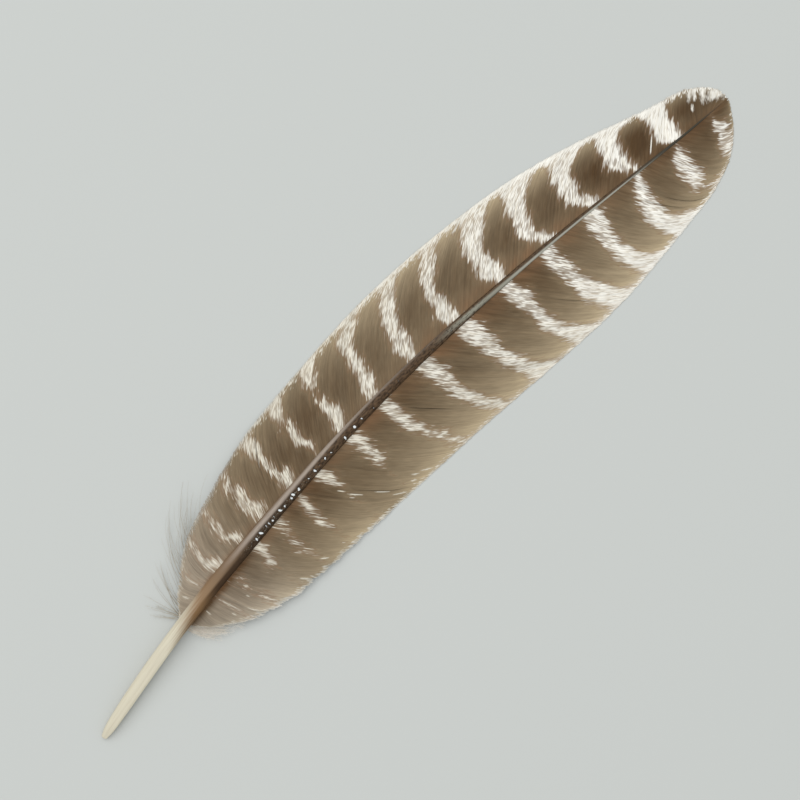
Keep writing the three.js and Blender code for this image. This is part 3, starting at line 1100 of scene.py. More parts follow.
def trailing_vane() -> Vane:
    """The wide vane, on the hollow side of the shaft."""
    return Vane(
        side=Side.TRAILING,
        node="trailing_vane",
        edge=Profile((
            (46, 2.9), (48.5, 7.2), (53, 11.6), (58, 15.5), (66, 19.6), (82, 23.6), (98, 25.7),
            (130, 28.8), (162, 30.1), (194, 30.7), (212, 30.3), (226, 28.8), (242, 25.7),
            (255, 22.8), (263, 20.9), (270, 18.1), (276, 14.7), (280.8, 10.5), (284, 6.2),
            (286, 3.0), (287.1, 0.9),
        )),
        root_angle=Profile((
            (46, 108), (52, 96), (58, 82), (64, 73), (72, 66), (84, 61), (100, 57), (120, 51),
            (145, 47), (180, 48), (215, 51), (235, 54), (250, 58), (260, 57), (268, 50), (274, 40),
            (278, 26), (280.3, 11), (281.4, 0),
        )),
        edge_angle=Profile((
            (46, 70), (54, 50), (62, 55), (70, 46), (80, 38), (94, 36), (110, 31), (130, 27),
            (160, 24), (190, 21), (240, 20), (256, 14), (264, 6), (272, -2), (278, -12), (283, -30),
            (286.5, -45),
        )),
        bars=(
            Bar(((0.1, 58.4, 57.4), (0.25, 58.4, 58), (0.5, 58.8, 58.2), (0.7, 59.3, 58.7),
                 (0.85, 59.8, 58.8)), ((0, 1), (0.6, 0.8), (1, 0.4))),
            Bar(((0.1, 66.5, 66), (0.38, 66.9, 67.6), (0.5, 67.6, 66.8), (0.77, 67.4, 68.6),
                 (1, 69, 68)), ((0, 0.3), (1, 0.2))),
            Bar(((0.12, 77.8, 80.5), (0.2, 78.5, 80.9), (0.3, 77.8, 79.6), (0.4, 76.8, 79.2),
                 (0.5, 78.4, 77.6), (1, 80, 76)), ((0, 1), (0.4, 0.9), (0.6, 0))),
            Bar(((0.12, 87.4, 90.6), (0.22, 88, 90), (0.35, 88.2, 88.8), (0.5, 87, 89),
                 (0.6, 87.3, 89.5), (0.72, 89, 88), (1, 90, 87)), ((0, 0.7), (0.3, 0.5), (1, 0.6))),
            Bar(((0.1, 98.7, 100.3), (0.2, 98.2, 101), (0.3, 97.1, 100), (0.4, 97.8, 100.2),
                 (0.5, 97.2, 98.4), (0.6, 98.4, 99.6), (0.7, 99.6, 98.4), (1, 100, 97)),
                ((0, 1), (0.4, 0.95), (0.6, 0.5), (1, 0))),
            Bar(((0.1, 107.2, 110), (0.2, 108.6, 112.2), (0.3, 109.6, 111.8), (0.38, 111.4, 110.6),
                 (0.46, 112, 109.6), (1, 113, 110)), ((0, 1), (0.4, 0.8), (1, 0))),
            Bar(((0.08, 122, 126.8), (0.2, 123.5, 128.3), (0.3, 124, 128), (0.4, 124, 127.6),
                 (0.5, 124, 127.4), (0.58, 125.6, 125), (1, 127, 124)), ((0, 1), (0.5, 0.7), (1, 0))),
            Bar(((0.08, 138, 142.7), (0.2, 138.4, 141.7), (0.35, 138, 142.5), (0.45, 138.5, 143),
                 (0.53, 140.4, 144), (0.65, 142.5, 145.1), (0.75, 144.4, 147.5), (0.9, 146.5, 149.5),
                 (1, 149, 151)), ((0, 1), (0.5, 0.9), (0.6, 0.65), (1, 0.6))),
            Bar(((0.06, 154.8, 160), (0.15, 155, 161.5), (0.25, 156, 162.5), (0.35, 157, 162),
                 (0.5, 158, 162), (0.6, 158.6, 162.6), (0.7, 160, 164.4), (0.8, 161, 166),
                 (0.9, 164, 168.8), (1, 167, 171)), ((0, 1), (0.5, 0.8), (1, 0.7))),
            Bar(((0.06, 172.5, 178), (0.15, 173.4, 180), (0.25, 174, 179.6), (0.4, 174.5, 180.6),
                 (0.5, 175.5, 180.5), (0.65, 176.6, 182.4), (0.8, 179.4, 184.4), (0.9, 180, 187.5),
                 (1, 183, 192)), ((0, 1), (0.4, 0.9), (0.6, 0.7), (1, 1))),
            Bar(((0.06, 191, 196), (0.15, 192, 197), (0.25, 192.3, 199), (0.35, 194, 198.5),
                 (0.5, 194.6, 197.8), (0.65, 193.6, 199), (0.75, 195.6, 200.4), (0.85, 197, 204),
                 (1, 199.5, 210)), ((0, 1), (0.5, 0.9), (1, 0.8))),
            Bar(((0.05, 208.5, 214), (0.15, 209.3, 213.4), (0.25, 209.5, 215), (0.4, 210, 215),
                 (0.5, 210, 215.5), (0.6, 210.5, 217), (0.75, 211.2, 220), (0.85, 213.4, 222),
                 (1, 218.5, 228)), ((0, 1), (0.5, 0.8), (1, 0.9))),
            Bar(((0.05, 226.5, 233), (0.15, 226, 233), (0.25, 226.3, 232), (0.4, 226.1, 231.5),
                 (0.5, 227, 232), (0.6, 227.2, 233), (0.75, 228, 234), (0.85, 229.4, 236.4),
                 (1, 231, 242)), ((0, 1), (0.5, 0.85), (1, 0.9))),
            Bar(((0.07, 247.4, 250.4), (0.2, 244.5, 249.5), (0.3, 243.5, 249), (0.45, 242.6, 249),
                 (0.55, 242.8, 249), (0.7, 243.6, 249.6), (0.85, 245.2, 254), (1, 248, 261)),
                ((0, 1), (0.5, 0.9), (1, 0.9))),
            Bar(((0.05, 265.4, 264), (0.12, 262.8, 265), (0.2, 261, 265.6), (0.3, 260.4, 266),
                 (0.45, 260, 265.6), (0.6, 260.5, 266.4), (0.75, 261.5, 265.2), (0.82, 263, 263.6),
                 (0.9, 265.4, 268), (1, 266.4, 270.6)),
                ((0, 1), (0.5, 0.75), (0.7, 0.7), (0.85, 0.3), (1, 0.6))),
            Bar(((0.2, 280, 279), (0.3, 277.4, 279.6), (0.4, 276.6, 280.6), (0.5, 277.5, 281.4),
                 (0.6, 275.4, 281.4), (0.7, 274.8, 280.4), (0.85, 275.2, 281.6), (1, 275.4, 281)),
                ((0, 0.9), (0.4, 0.68), (0.7, 0.62), (1, 0.62))),
        ),
        streaks=(
            Streak(52.4, 0.40, 2.4, 2.1), Streak(58.6, 0.50, 8.0, 2.4),
            Streak(57.2, 0.75, 1.8, 2.1), Streak(62.2, 0.81, 6.0, 1.9),
            Streak(67.2, 0.38, 2.0, 3.0), Streak(68.1, 0.77, 2.2, 3.0),
            Streak(79.8, 0.93, 1.9, 2.0), Streak(81.6, 0.97, 1.6, 2.0),
            Streak(68.6, 0.87, 1.8, 2.4), Streak(64.9, 0.58, 1.4, 2.1),
            Streak(90.3, 0.88, 3.0, 2.1), Streak(109.9, 0.42, 2.4, 1.8),
            Streak(112.3, 0.57, 5.0, 2.0), Streak(118.6, 0.79, 5.0, 1.5),
            Streak(122.2, 0.92, 5.0, 1.8), Streak(130.4, 0.86, 3.0, 2.1),
            Streak(134.4, 0.94, 4.0, 2.4), Streak(128.6, 0.93, 2.0, 2.1),
        ),
        creases=(
            Crease(137.6, 0.27, 0.66), Crease(191, 0.42, 0.88, 0.3), Crease(240.4, 0.28, 0.85, 0.3),
            Crease(104, 0.5, 0.98, 0.3), Crease(244, 0.45, 1.0, 0.35),
        ),
        fade=Profile((
            (46, 0.55), (54, 0.52), (62, 0.42), (72, 0.37), (94, 0.25), (132, 0.28), (168, 0.30),
            (204, 0.29), (221, 0.38), (239, 0.37), (256, 0.25), (271, 0.18), (286, 0.18),
        )),
        fade_outward=Profile((
            (46, 0.22), (54, 0.32), (62, 0.40), (72, 0.47), (84, 0.25), (94, 0.40), (104, 0.5),
            (118, 0.22), (132, 0.44), (150, 0.46), (190, 0.5), (221, 0.52), (240, 0.50),
            (256, 0.42), (286, 0.3),
        )),
        fade_shape=Profile((
            (0, -0.42), (0.15, -0.38), (0.3, -0.25), (0.5, 0), (0.7, 0.44), (0.85, 0.95), (1, 1.9),
        )),
        fringe=Profile((
            (46, 0.4), (60, 0.52), (72, 0.66), (84, 0.5), (110, 0.5), (145, 0.45), (170, 0.5),
            (220, 0.75), (262, 0.75), (272, 0.5), (286, 0.4),
        )),
        fringe_width=2.6,
        loose=Profile((
            (70, 0.05), (85, 0.12), (97, 0.05), (108, 0.05), (124, 0.18), (140, 0.3), (158, 0.24),
            (190, 0.26), (225, 0.25), (250, 0.2),
        )),
        warmth=Profile(((46, 0.35), (200, 0.35), (255, 0.15))),
        shade=0.45,
        fray=Profile(((46, 0.4), (80, 0.3), (110, 0.22), (140, 0.16), (286, 0.16))),
        clumps=Profile(((46, 0.9), (62, 0.85), (80, 0.5), (100, 0.2), (286, 0.15))),
        seed=23,
    )


class HornGraph(Graph):
    """The shaft's material, which knows each point's place along and across the shaft.

    Along is in millimetres. Lit is 0 on the trailing side and 1 on the leading one, and
    wavy is the same with a wavy edge.
    """

    def __init__(self, name: str) -> None:
        """Starts the material and reads the places and the random greys.

        Args:
            name: The material's name.
        """
        super().__init__(name)
        self.place = self.add("UVMap", uv_map="shaft")
        self.along = self.math("MULTIPLY", self.add("SeparateXYZ", self.place, out="X"), UV_MM)
        self.lit = self.attribute("lit_side")
        self.streaks = self.noise(self.scaled(self.place, 8, 30), 3.0)
        self.grain = self.noise(self.scaled(self.place, 40, 160), 2.0)
        self.specks = self.noise(self.scaled(self.place, 70, 20), 3.0)
        self.sparkles = self.noise(self.scaled(self.place, 170, 34), 2.0)
        self.wavy = self.swing(self.streaks, 0.10, self.lit)

    def band(self, centre: object, inner: float, outer: float) -> Socket:
        """A soft stripe along the shaft, round a place across its width."""
        off = self.math("ABSOLUTE", self.math("SUBTRACT", self.wavy, centre))
        return self.ramp(off, inner, outer, 1.0, 0.0)


@dataclass(frozen=True)
class HornFinish:
    """The shaft's horn: cream at the quill, dark and glossy along the vane, with painted light and
    shade.
    """

    cream: Colour = (0.605, 0.558, 0.435)
    # Paler cream painted on the quill's shaded trailing side, as painted light
    painted_fill_cream: Colour = (0.83, 0.76, 0.59)
    tan: Colour = (0.26, 0.165, 0.090)
    fawn: Colour = (0.185, 0.120, 0.070)
    russet: Colour = (0.20, 0.115, 0.052)
    # Painted shade on the young shaft's trailing side
    shade: Colour = (0.055, 0.031, 0.016)
    # The colour of the painted sheen highlight
    satin: Colour = (0.35, 0.29, 0.24)
    umber: Colour = (0.115, 0.070, 0.038)
    dark: Colour = (0.028, 0.017, 0.009)
    ink: Colour = (0.050, 0.044, 0.032)
    # Colours of the painted highlight line, and of the painted sparkles
    silver_highlight: Colour = (0.25, 0.24, 0.19)
    steel_highlight: Colour = (0.40, 0.39, 0.33)
    belly: Colour = (0.50, 0.44, 0.33)
    # The colour of the painted glint highlights
    glint: Colour = (0.76, 0.79, 0.79)
    roughness: float = 0.42
    shine: float = 0.1

    def quill(self, g: HornGraph) -> Socket:
        """The bare quill: cream with faint tan streaks, painted paler on its shaded side."""
        quill = g.mix(g.ramp(g.lit, 0.05, 0.5), self.painted_fill_cream, self.cream)
        return g.mix(g.ramp(g.streaks, 0.45, 0.75, 0.0, 0.2), quill, self.tan)

    def rear(self, g: HornGraph, base: Socket) -> Socket:
        """Mixes the near half: tan and russet, then dark with a painted sheen down one side.

        Args:
            g: The material's nodes.
            base: The dark horn's own colour.

        Returns:
            The colour up to the middle.
        """
        # Painted highlight: a sheen band down the leading side, fading out towards the middle
        sheen = g.math("MULTIPLY", g.band(g.ramp(g.along, 90, 142, 0.72, 0.97), 0.03, 0.27),
                       g.ramp(g.along, 112, 168, 1.0, 0.25))
        sheen = g.math("MULTIPLY", sheen, g.ramp(g.grain, 0.25, 0.6, 0.6, 1.0))
        flank = g.math("MULTIPLY", g.ramp(g.wavy, 0.74, 0.92), g.ramp(g.along, 98, 122, 0.8, 0.0))
        horn = g.mix(sheen, g.mix(flank, base, self.fawn), self.satin)
        # The young shaft: russet then painted shade down its trailing side, tan then fawn on its
        # leading side
        shadow = g.mix(g.ramp(g.along, 50, 62), self.russet, self.shade)
        bright = g.mix(g.ramp(g.along, 52, 68), self.tan, self.fawn)
        young = g.mix(g.ramp(g.wavy, 0.28, 0.50), shadow, bright)
        return g.mix(g.ramp(g.along, 62, 84), young, horn)

    def front(self, g: HornGraph, base: Socket) -> Socket:
        """Mixes the far half: a painted silvery highlight line, speckled at first, then near black.

        Args:
            g: The material's nodes.
            base: The dark horn's own colour.

        Returns:
            The colour from the middle on.
        """
        # Painted highlight: a silvery line down the shaft, speckled at first, then plain
        silver_highlight = g.mix(g.ramp(g.along, 182, 214), self.silver_highlight, self.steel_highlight)
        highlight_specks = g.math("MAXIMUM", g.ramp(g.specks, 0.32, 0.5), g.ramp(g.along, 172, 192))
        silver_highlight = g.mix(highlight_specks, self.dark, silver_highlight)
        line = g.band(g.ramp(g.along, 168, 212, 0.5, 0.15), 0.08, 0.4)
        return g.mix(g.ramp(g.along, 238, 264), g.mix(line, base, silver_highlight), self.ink)

    def glinting(self, g: HornGraph, colour: Socket) -> Socket:
        """Adds the painted glint highlights, each in a painted dark patch, and painted sparkles
        beside them.

        Args:
            g: The material's nodes.
            colour: The horn's colour.

        Returns:
            The colour with the painted glints and sparkles in it.
        """
        spot = g.swing(g.specks, 1.0, g.attribute("glint"))
        spot = g.math("MULTIPLY", spot, g.ramp(g.attribute("glint"), 0.03, 0.2))
        colour = g.mix(g.ramp(spot, 0.02, 0.25, 0.0, 0.8), colour, self.dark)
        sparkles = g.math("MULTIPLY", g.ramp(g.sparkles, 0.55, 0.68, 0.0, 0.5), g.band(0.31, 0.06, 0.2))
        sparkle_stretch = g.math("MULTIPLY", g.ramp(g.along, 72, 80), g.ramp(g.along, 95, 125, 1.0, 0.0))
        colour = g.mix(g.math("MULTIPLY", sparkles, sparkle_stretch), colour, self.steel_highlight)
        return g.mix(g.ramp(spot, 0.32, 0.6), colour, self.glint)

    def material(self) -> bpy.types.Material:
        """Builds the material.

        Returns:
            The material.
        """
        g = HornGraph("horn")
        worn = g.math("MULTIPLY", g.ramp(g.specks, 0.27, 0.73), g.ramp(g.along, 88, 112, 0.45, 1.0))
        base = g.mix(worn, self.dark, self.umber)
        blade = g.mix(g.ramp(g.along, 162, 180), self.rear(g, base), self.front(g, base))
        blade = g.mix(g.ramp(g.along, 274, 284, 0.0, 0.8), blade, self.umber)
        stain = g.swing(g.streaks, 12, g.math("MULTIPLY_ADD", g.lit, -13, g.along))
        colour = g.mix(g.ramp(stain, 30, 47), self.quill(g), blade)
        colour = g.mix(g.attribute("belly"), colour, self.belly)
        return g.finish(self.glinting(g, colour), self.roughness, self.shine)


@dataclass(frozen=True)
class QuillShaft:
    """The quill and shaft in one piece, its flank crumpled by wrinkles. Millimetres.

    Turns are degrees round the shaft, from its leading side over the top, and spreads are
    radians. Ends are how long the two ends of a span take to rise and fall. Each glint, a
    painted highlight, is its distance from the quill's end and its strength. Glints wander
    off their turn, lean, and are as long as the first part of their length and the second
    times their strength.
    """

    node: str = "quill_shaft"
    pit_radius: float = 0.4
    pit_depth: float = 1.6
    pit_mouth: float = 0.25
    sides: int = 28
    step: float = 0.24
    squareness: float = 2.5
    square_from: Span = (44.0, 62.0)
    ridges: int = 9
    ridge_height: float = 0.012
    groove_depth: float = 0.28
    groove_span: Span = (50.0, 264.0)
    groove_ends: Span = (14.0, 20.0)
    groove_spread: float = 0.42
    wrinkle_span: Span = (62.0, 172.0)
    wrinkle_ends: Span = (18.0, 30.0)
    wrinkle_spread: float = 0.42
    wrinkle_depth: float = 0.07
    wrinkle_lengths: Span = (1.9, 7.3)
    wrinkle_turn: float = 116.0
    belly_span: Span = (0.35, 0.8)
    belly_strength: float = 0.9
    glint_turn: float = 112.0
    glint_wander: float = 6.0
    glint_lean: float = 1.1
    glint_length: Span = (0.24, 0.22)
    glint_spread: float = 0.27
    glints: Pairs = (
        (78.5, 0.4), (80.6, 0.75), (83.0, 1.0), (85.7, 0.6), (87.0, 0.7), (88.4, 0.7), (89.6, 0.5),
        (92.4, 0.9), (94.4, 0.7), (97.7, 0.95), (98.9, 1.0), (101.4, 0.9), (106.0, 0.7),
        (109.2, 1.0), (114.3, 0.8), (117.0, 0.6), (123.4, 1.0), (128.0, 1.0), (131.5, 0.6),
        (136.5, 0.5), (143.0, 0.3), (148.2, 0.4), (153.0, 0.3), (163.0, 0.4), (167.0, 0.3),
        (171.5, 0.4),
    )
    seed: int = 5

    def build(self) -> bpy.types.Object:
        """Rolls a grid into a tapering rod and closes its two ends.

        Returns:
            The shaft.
        """
        rings = int(PLAN.shaft_length / self.step)
        bm = bmesh.new()
        bmesh.ops.create_grid(bm, x_segments=rings, y_segments=self.sides, size=1)
        uv = bm.loops.layers.uv.new("shaft")
        grid = np.array([v.co[:2] for v in bm.verts])
        first = PLAN.half_width.pairs[0][0]
        along = first + (PLAN.shaft_length - first) * (grid[:, 0] + 1) / 2
        turn = (grid[:, 1] + 1) * math.pi - math.pi / 2
        points, values = self.shape(along, turn)
        layers = {key: bm.verts.layers.float.new(key) for key in values}
        for i, vert in enumerate(bm.verts):
            vert.co = points[i]
            for key, layer in layers.items():
                vert[layer] = values[key][i]
        bm.verts.index_update()
        for face in bm.faces:
            for loop in face.loops:
                i = loop.vert.index
                loop[uv].uv = (along[i] / UV_MM, turn[i] / (2 * math.pi))
        bmesh.ops.remove_doubles(bm, verts=bm.verts, dist=1e-7)
        self.close_ends(bm)
        mesh = bpy.data.meshes.new(self.node)
        bm.to_mesh(mesh)
        bm.free()
        return linked("horn_shaft", mesh)

    def shape(self, along: np.ndarray, turn: np.ndarray) -> tuple[np.ndarray, dict[str, np.ndarray]]:
        """Places the shaft's skin.

        Args:
            along: Distance from the quill's end of each point.
            turn: Its angle round the shaft, 0 on the leading side and a quarter turn on top.

        Returns:
            The points, in metres, and the numbers that the finish reads there.
        """
        half = PLAN.half_width.at(along)
        across, up = np.cos(turn), np.sin(turn)
        vaned = smoothstep(*self.square_from, along)
        power = 2 + (self.squareness - 2) * vaned
        radius = half * (np.abs(across) ** power + np.abs(up) ** power) ** (-1 / power)
        from_bottom = (turn + math.pi / 2 + math.pi) % (2 * math.pi) - math.pi
        below = np.exp(-((from_bottom / self.groove_spread) ** 2))
        radius *= 1 - self.groove_depth * within(self.groove_span, self.groove_ends, along) * below
        flank = np.exp(-(((turn - math.radians(self.wrinkle_turn)) / self.wrinkle_spread) ** 2))
        rough = within(self.wrinkle_span, self.wrinkle_ends, along) * flank
        fine, coarse = self.wrinkle_lengths
        crumple = ripple(along + 0.5 * across, fine, self.seed)
        crumple = crumple * ripple(along, coarse, self.seed + 1)
        radius -= self.wrinkle_depth * rough * np.clip(crumple, -0.2, 1)
        radius += self.ridge_height * half * np.sin(turn * self.ridges) * vaned
        height = PLAN.centre_height(along) + radius * up
        points = PLAN.place(along, radius * across, height)
        values = {
            "lit_side": 0.5 + 0.5 * radius * across / half,
            "belly": smoothstep(*self.belly_span, -up) * self.belly_strength,
            "glint": self.glinting(along, turn),
        }
        return points, values

    def glinting(self, along: np.ndarray, turn: np.ndarray) -> np.ndarray:
        """Spreads the painted glint highlights over the skin, each leaning its own way.

        Args:
            along: Distance from the quill's end of each point.
            turn: Its angle round the shaft.

        Returns:
            How strongly each point is painted with a glint highlight, from 0 to 1.
        """
        glow = np.zeros_like(along)
        shortest, growth = self.glint_length
        for i, (place, strength) in enumerate(self.glints):
            lean = self.glint_lean * math.sin(i * 2.4)
            wander = self.glint_wander * math.sin(i * 1.7)
            aside = turn - math.radians(self.glint_turn + wander)
            length = shortest + growth * strength
            spot = ((along - place + lean * aside) / length) ** 2 + (aside / self.glint_spread) ** 2
            glow = np.maximum(glow, strength * np.exp(-spot))
        return glow

    def close_ends(self, bm: bmesh.types.BMesh) -> None:
        """Closes the tip to a point and sinks the small pit into the quill's end.

        Args:
            bm: The rod, open at both ends.
        """
        for at_quill in (True, False):
            rims = [e for e in bm.edges if e.is_boundary]
            end = min(rims, key=lambda e: e.verts[0].co.x * (1 if at_quill else -1)).verts[0].co.x
            rim = [e for e in rims if abs(e.verts[0].co.x - end) < 5 * MM]
            face = bmesh.ops.contextual_create(bm, geom=rim)["faces"][0]
            if at_quill:
                thickness = PLAN.half_width.pairs[0][1] - self.pit_radius
                bmesh.ops.inset_region(bm, faces=[face], thickness=thickness * MM)
                for vert in face.verts:
                    vert.co.x -= self.pit_mouth * MM
                face = bmesh.ops.extrude_discrete_faces(bm, faces=[face])["faces"][0]
                for vert in face.verts:
                    vert.co.x += self.pit_depth * MM
            bmesh.ops.poke(bm, faces=[face])

    def dress(self, piece: bpy.types.Object) -> None:
        """Gives the shaft its finish and its place in the frame."""
        hand_in(piece, HornFinish().material(), self.node)


@dataclass(frozen=True)
class DownFinish:
    """Soft pale down."""

    tip: Colour
    root: Colour
    roughness: float = 0.85
    shine: float = 0.15

    def material(self, name: str) -> bpy.types.Material:
        """Builds the material.

        Args:
            name: Its name.

        Returns:
            The material.
        """
        g = Graph(name)
        place = g.add("UVMap", uv_map="strand")
        patches = g.noise(g.scaled(place, 8, 4), 2.0)
        share = g.swing(patches, 1.2, g.attribute("reach"))
        colour = g.mix(g.ramp(share, 0.1, 0.8), self.root, self.tip)
        return g.finish(colour, self.roughness, self.shine)


@dataclass(frozen=True)
class Tuft:
    """A fan of downy barbs from one stretch of the shaft. Millimetres and degrees.

    Each pair holds the value at the stretch's quill end and at its tip end.
    """

    count: int
    root: Span
    first_angle: Span
    last_angle: Span
    length: Span
    lift: Span
    barbules: int = 20
    barbule_length: float = 0.8


@dataclass(frozen=True)
class Down:
    """One side's down: fine curved barbs, each with a fuzz of barbules.

    Millimetres, and degrees but for the barbules' angles, which are radians off their barb.
    A pair is the least and the greatest that a random value takes. Swirl is how far the
    barbs bend to and fro, and stray how far one leans off its neighbours.
    """

    side: Side
    node: str
    tufts: tuple[Tuft, ...]
    finish: DownFinish
    seed: int
    radius: float = 0.07
    barbule_radius: float = 0.015
    thinning: float = 0.68
    barb: Strand = Strand(3, 11)
    barbule: Strand = Strand(3, 2)
    lengths: Span = (0.72, 1.05)
    swirl: float = 5.0
    swirl_turns: Span = (3.0, 7.0)
    stray: float = 6.0
    root_share: float = 0.7
    root_heights: Span = (1.0, 1.4)
    lifts: Span = (0.5, 1.0)
    lift_power: float = 1.2
    lowest: float = 0.12
    barbule_places: Span = (0.12, 0.97)
    barbule_angles: Span = (0.35, 0.9)
    barbule_lengths: Span = (0.5, 1.1)
    barbule_lifts: Span = (-0.2, 0.35)
    barbule_lowest: float = 0.05
    uv_mm: float = 10.0

    def spines(self, tuft: Tuft, rng: np.random.Generator) -> np.ndarray:
        """The middle line of every downy barb of a tuft.

        Args:
            tuft: The tuft.
            rng: Where its randomness comes from.

        Returns:
            Points as [barb, ring, along/out/height], in millimetres.
        """
        each = (tuft.count, 1)
        where = rng.uniform(size=each)
        root, first, last, length, lift = (
            low + (high - low) * where for low, high in
            (tuft.root, tuft.first_angle, tuft.last_angle, tuft.length, tuft.lift)
        )
        share = np.linspace(0, 1, self.barb.steps + 1)[None]
        stride = length * rng.uniform(*self.lengths, each) / self.barb.steps
        swirl = np.sin(share * rng.uniform(*self.swirl_turns, each) + rng.uniform(0, 6, each))
        angle = first + (last - first) * share + self.swirl * swirl
        angle = np.radians(angle + rng.normal(size=each) * self.stray)
        along = root + np.cumsum(np.cos(angle) * stride, 1)
        out = PLAN.half_width.at(root) * self.root_share + np.cumsum(np.sin(angle) * stride, 1)
        start = rng.uniform(*self.root_heights, each)
        end = lift * rng.uniform(*self.lifts, each)
        height = start + (end - start) * share ** self.lift_power
        return np.stack([along, out, np.maximum(height, self.lowest)], -1)

    def fuzz(self, spines: np.ndarray, tuft: Tuft, rng: np.random.Generator) -> np.ndarray:
        """The middle lines of the barbules along a tuft's barbs.

        Args:
            spines: The barbs' own middle lines.
            tuft: The tuft.
            rng: Where its randomness comes from.

        Returns:
            Points as [barbule, ring, along/out/height], in millimetres.
        """
        steps = spines.shape[1] - 1
        shape = (len(spines), tuft.barbules)
        places = rng.uniform(*self.barbule_places, shape) * steps
        low = np.minimum(places.astype(int), steps - 1)
        rest = (places - low)[..., None]
        which = np.arange(len(spines))[:, None]
        start = spines[which, low] * (1 - rest) + spines[which, low + 1] * rest
        run = spines[which, low + 1] - spines[which, low]
        heading = np.arctan2(run[..., 1], run[..., 0])
        heading += rng.choice([-1, 1], shape) * rng.uniform(*self.barbule_angles, shape)
        length = tuft.barbule_length * rng.uniform(*self.barbule_lengths, shape)
        rise = rng.uniform(*self.barbule_lifts, shape)
        ends = np.stack([np.cos(heading), np.sin(heading), rise], -1)
        share = np.linspace(0, 1, self.barbule.steps + 1)
        hair = start[:, :, None] + ends[:, :, None] * (length[..., None] * share)[..., None]
        hair[..., 2] = np.maximum(hair[..., 2], self.barbule_lowest)
        return hair.reshape(-1, self.barbule.steps + 1, 3)

    def tubes(self, spines: np.ndarray, radii: np.ndarray, sides: int) -> np.ndarray:
        """Rings of points round middle lines.

        Args:
            spines: The lines, as [line, ring, along/out/height], in millimetres.
            radii: Each ring's radius, in millimetres.
            sides: Points in a ring.

        Returns:
            The points, in metres.
        """
        middle = PLAN.place(spines[..., 0], spines[..., 1] * self.side.value, spines[..., 2])
        run = np.gradient(middle, axis=1)
        run /= np.linalg.norm(run, axis=-1, keepdims=True) + 1e-12
        level = np.cross(run, np.array([0.0, 0.0, 1.0]))
        level /= np.linalg.norm(level, axis=-1, keepdims=True) + 1e-12
        upright = np.cross(level, run)
        turns = np.arange(sides) * 2 * math.pi / sides
        ring = level[:, :, None] * np.cos(turns)[None, None, :, None]
        ring = ring + upright[:, :, None] * np.sin(turns)[None, None, :, None]
        return middle[:, :, None] + ring * radii[..., None, None] * MM

    def build(self) -> bpy.types.Object:
        """Makes the barbs and their barbules and joins them.

        Returns:
            The down.
        """
        rng = np.random.default_rng(self.seed)
        barbs = [self.spines(tuft, rng) for tuft in self.tufts]
        hairs = [self.fuzz(spines, tuft, rng) for spines, tuft in zip(barbs, self.tufts)]
        parts = []
        for name, strand, lines, radius in (
            ("barb", self.barb, np.concatenate(barbs), self.radius),
            ("barbule", self.barbule, np.concatenate(hairs), self.barbule_radius),
        ):
            share = np.broadcast_to(np.linspace(0, 1, strand.steps + 1), lines.shape[:2])
            rings = self.tubes(lines, radius * (1 - self.thinning * share), strand.sides)
            uv = lines[..., :2] / self.uv_mm
            parts.append(joined_strands(f"{self.node}_{name}", strand, rings, {"reach": share}, uv))
        first = parts[0]
        with bpy.context.temp_override(active_object=first, selected_editable_objects=parts):
            bpy.ops.object.join()
        first.name = self.node + "_wisps"
        return first

    def dress(self, piece: bpy.types.Object) -> None:
        """Gives the down its finish and its place in the frame."""
        hand_in(piece, self.finish.material(self.node), self.node)


def leading_down() -> Down:
    """The longer wisps, which sweep out past the narrow vane's first barbs."""
    return Down(
        side=Side.LEADING,
        node="leading_down",
        tufts=(
            Tuft(18, (45, 56), (84, 70), (58, 34), (15, 26), (2.2, 3.2), 10, 0.6),
            Tuft(24, (54, 63), (88, 78), (34, 30), (26, 30), (2.4, 3.4), 5, 0.5),
            Tuft(9, (44.5, 46.5), (116, 104), (118, 108), (9, 13), (1.2, 2.2), 26, 0.8),
        ),
        finish=DownFinish(tip=(0.47, 0.44, 0.375), root=(0.38, 0.33, 0.25)),
        radius=0.085,
        seed=31,
    )


def trailing_down() -> Down:
    """The short fluff under the wide vane's first barbs."""
    return Down(
        side=Side.TRAILING,
        node="trailing_down",
        tufts=(
            Tuft(46, (43.5, 54), (84, 74), (56, 44), (8, 17), (1.6, 3.4), 60, 1.4),
            Tuft(26, (44, 47.5), (98, 86), (52, 40), (8, 14), (1.4, 2.8), 50, 1.3),
        ),
        finish=DownFinish(tip=(0.88, 0.84, 0.76), root=(0.72, 0.65, 0.55)),
        seed=37,
    )


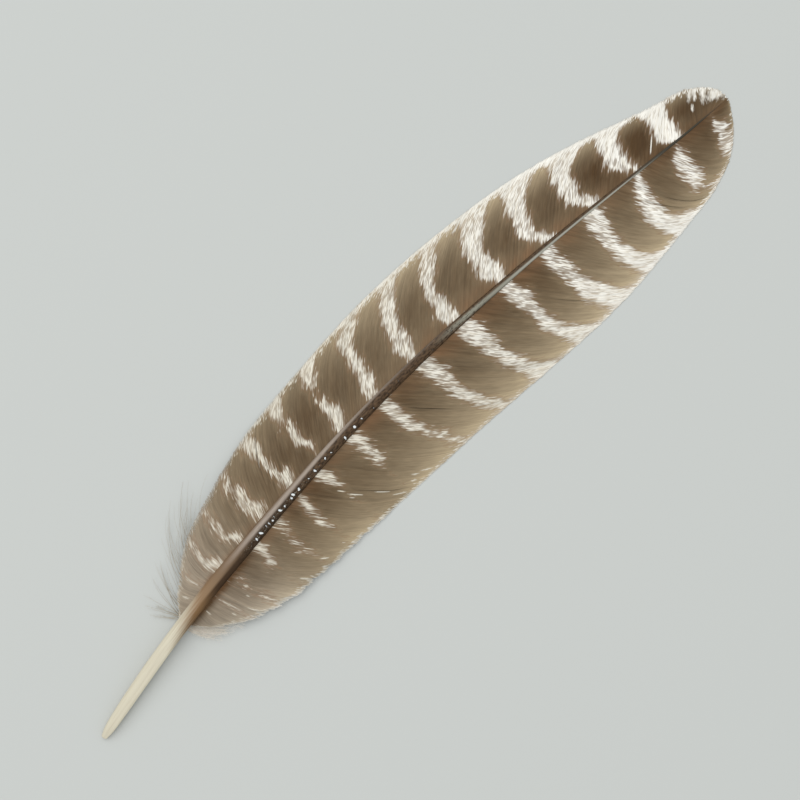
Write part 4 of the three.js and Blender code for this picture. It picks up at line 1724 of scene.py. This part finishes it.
@dataclass(frozen=True)
class Studio:
    """The pale floor, the soft light and the camera straight above the feather."""

    floor_colour: Colour = (0.530, 0.543, 0.520)
    floor_size: float = 8.0
    floor_roughness: float = 0.9
    floor_shine: float = 0.1
    sky: Colour = (0.95, 0.98, 1.0)
    sky_strength: float = 0.62
    key_energy: float = 67.0
    key_size: float = 3.6
    key_place: tuple[float, float, float] = (-0.15, 1.1, 2.45)
    lens: float = 100.0
    sensor: float = 36.0
    view_width: float = 0.2561
    view_turn: float = -45.773
    view_middle: tuple[float, float] = (144.2, 7.5)
    focus_height: float = 3.0

    def floor(self) -> None:
        """Lays the floor."""
        bm = bmesh.new()
        bmesh.ops.create_grid(bm, x_segments=1, y_segments=1, size=self.floor_size / 2)
        mesh = bpy.data.meshes.new("floor")
        bm.to_mesh(mesh)
        bm.free()
        floor = bpy.data.objects.new("floor", mesh)
        bpy.context.scene.collection.objects.link(floor)
        colour = (*self.floor_colour, 1.0)
        finish = Graph("floor").finish(colour, self.floor_roughness, self.floor_shine)
        floor.data.materials.append(finish)

    def lights(self) -> None:
        """Hangs one large soft lamp towards the leading side, under an even sky."""
        lamp = bpy.data.lights.new("window", "AREA")
        lamp.energy = self.key_energy
        lamp.size = self.key_size
        window = bpy.data.objects.new("window", lamp)
        window.location = self.key_place
        window.rotation_euler = (-window.location).to_track_quat("-Z", "Y").to_euler()
        bpy.context.scene.collection.objects.link(window)
        world = bpy.data.worlds.new("sky")
        world.use_nodes = True
        background = world.node_tree.nodes["Background"]
        background.inputs["Color"].default_value = (*self.sky, 1.0)
        background.inputs["Strength"].default_value = self.sky_strength
        bpy.context.scene.world = world

    def camera(self) -> None:
        """Sets the camera looking straight down, turned so that the tip points up and right."""
        data = bpy.data.cameras.new("camera")
        data.lens = self.lens
        data.sensor_width = self.sensor
        camera = bpy.data.objects.new("camera", data)
        bpy.context.scene.collection.objects.link(camera)
        x, y = np.array(self.view_middle) * MM + PLAN.origin()[:2]
        distance = self.view_width * self.lens / self.sensor
        camera.location = (x, y, self.focus_height * MM + distance)
        camera.rotation_euler = (0.0, 0.0, math.radians(self.view_turn))
        bpy.context.scene.camera = camera

    def build(self) -> None:
        """Sets up the floor, lights, camera and plain colours."""
        self.floor()
        self.lights()
        self.camera()
        bpy.context.scene.view_settings.view_transform = "Standard"


def main() -> None:
    """Builds the feather piece by piece."""
    logging.basicConfig(level=logging.INFO, format="%(name)s: %(message)s")
    Studio().build()
    for part in (QuillShaft(), leading_vane(), trailing_vane(), leading_down(), trailing_down()):
        part.dress(part.build())


if __name__ == "__main__":
    main()
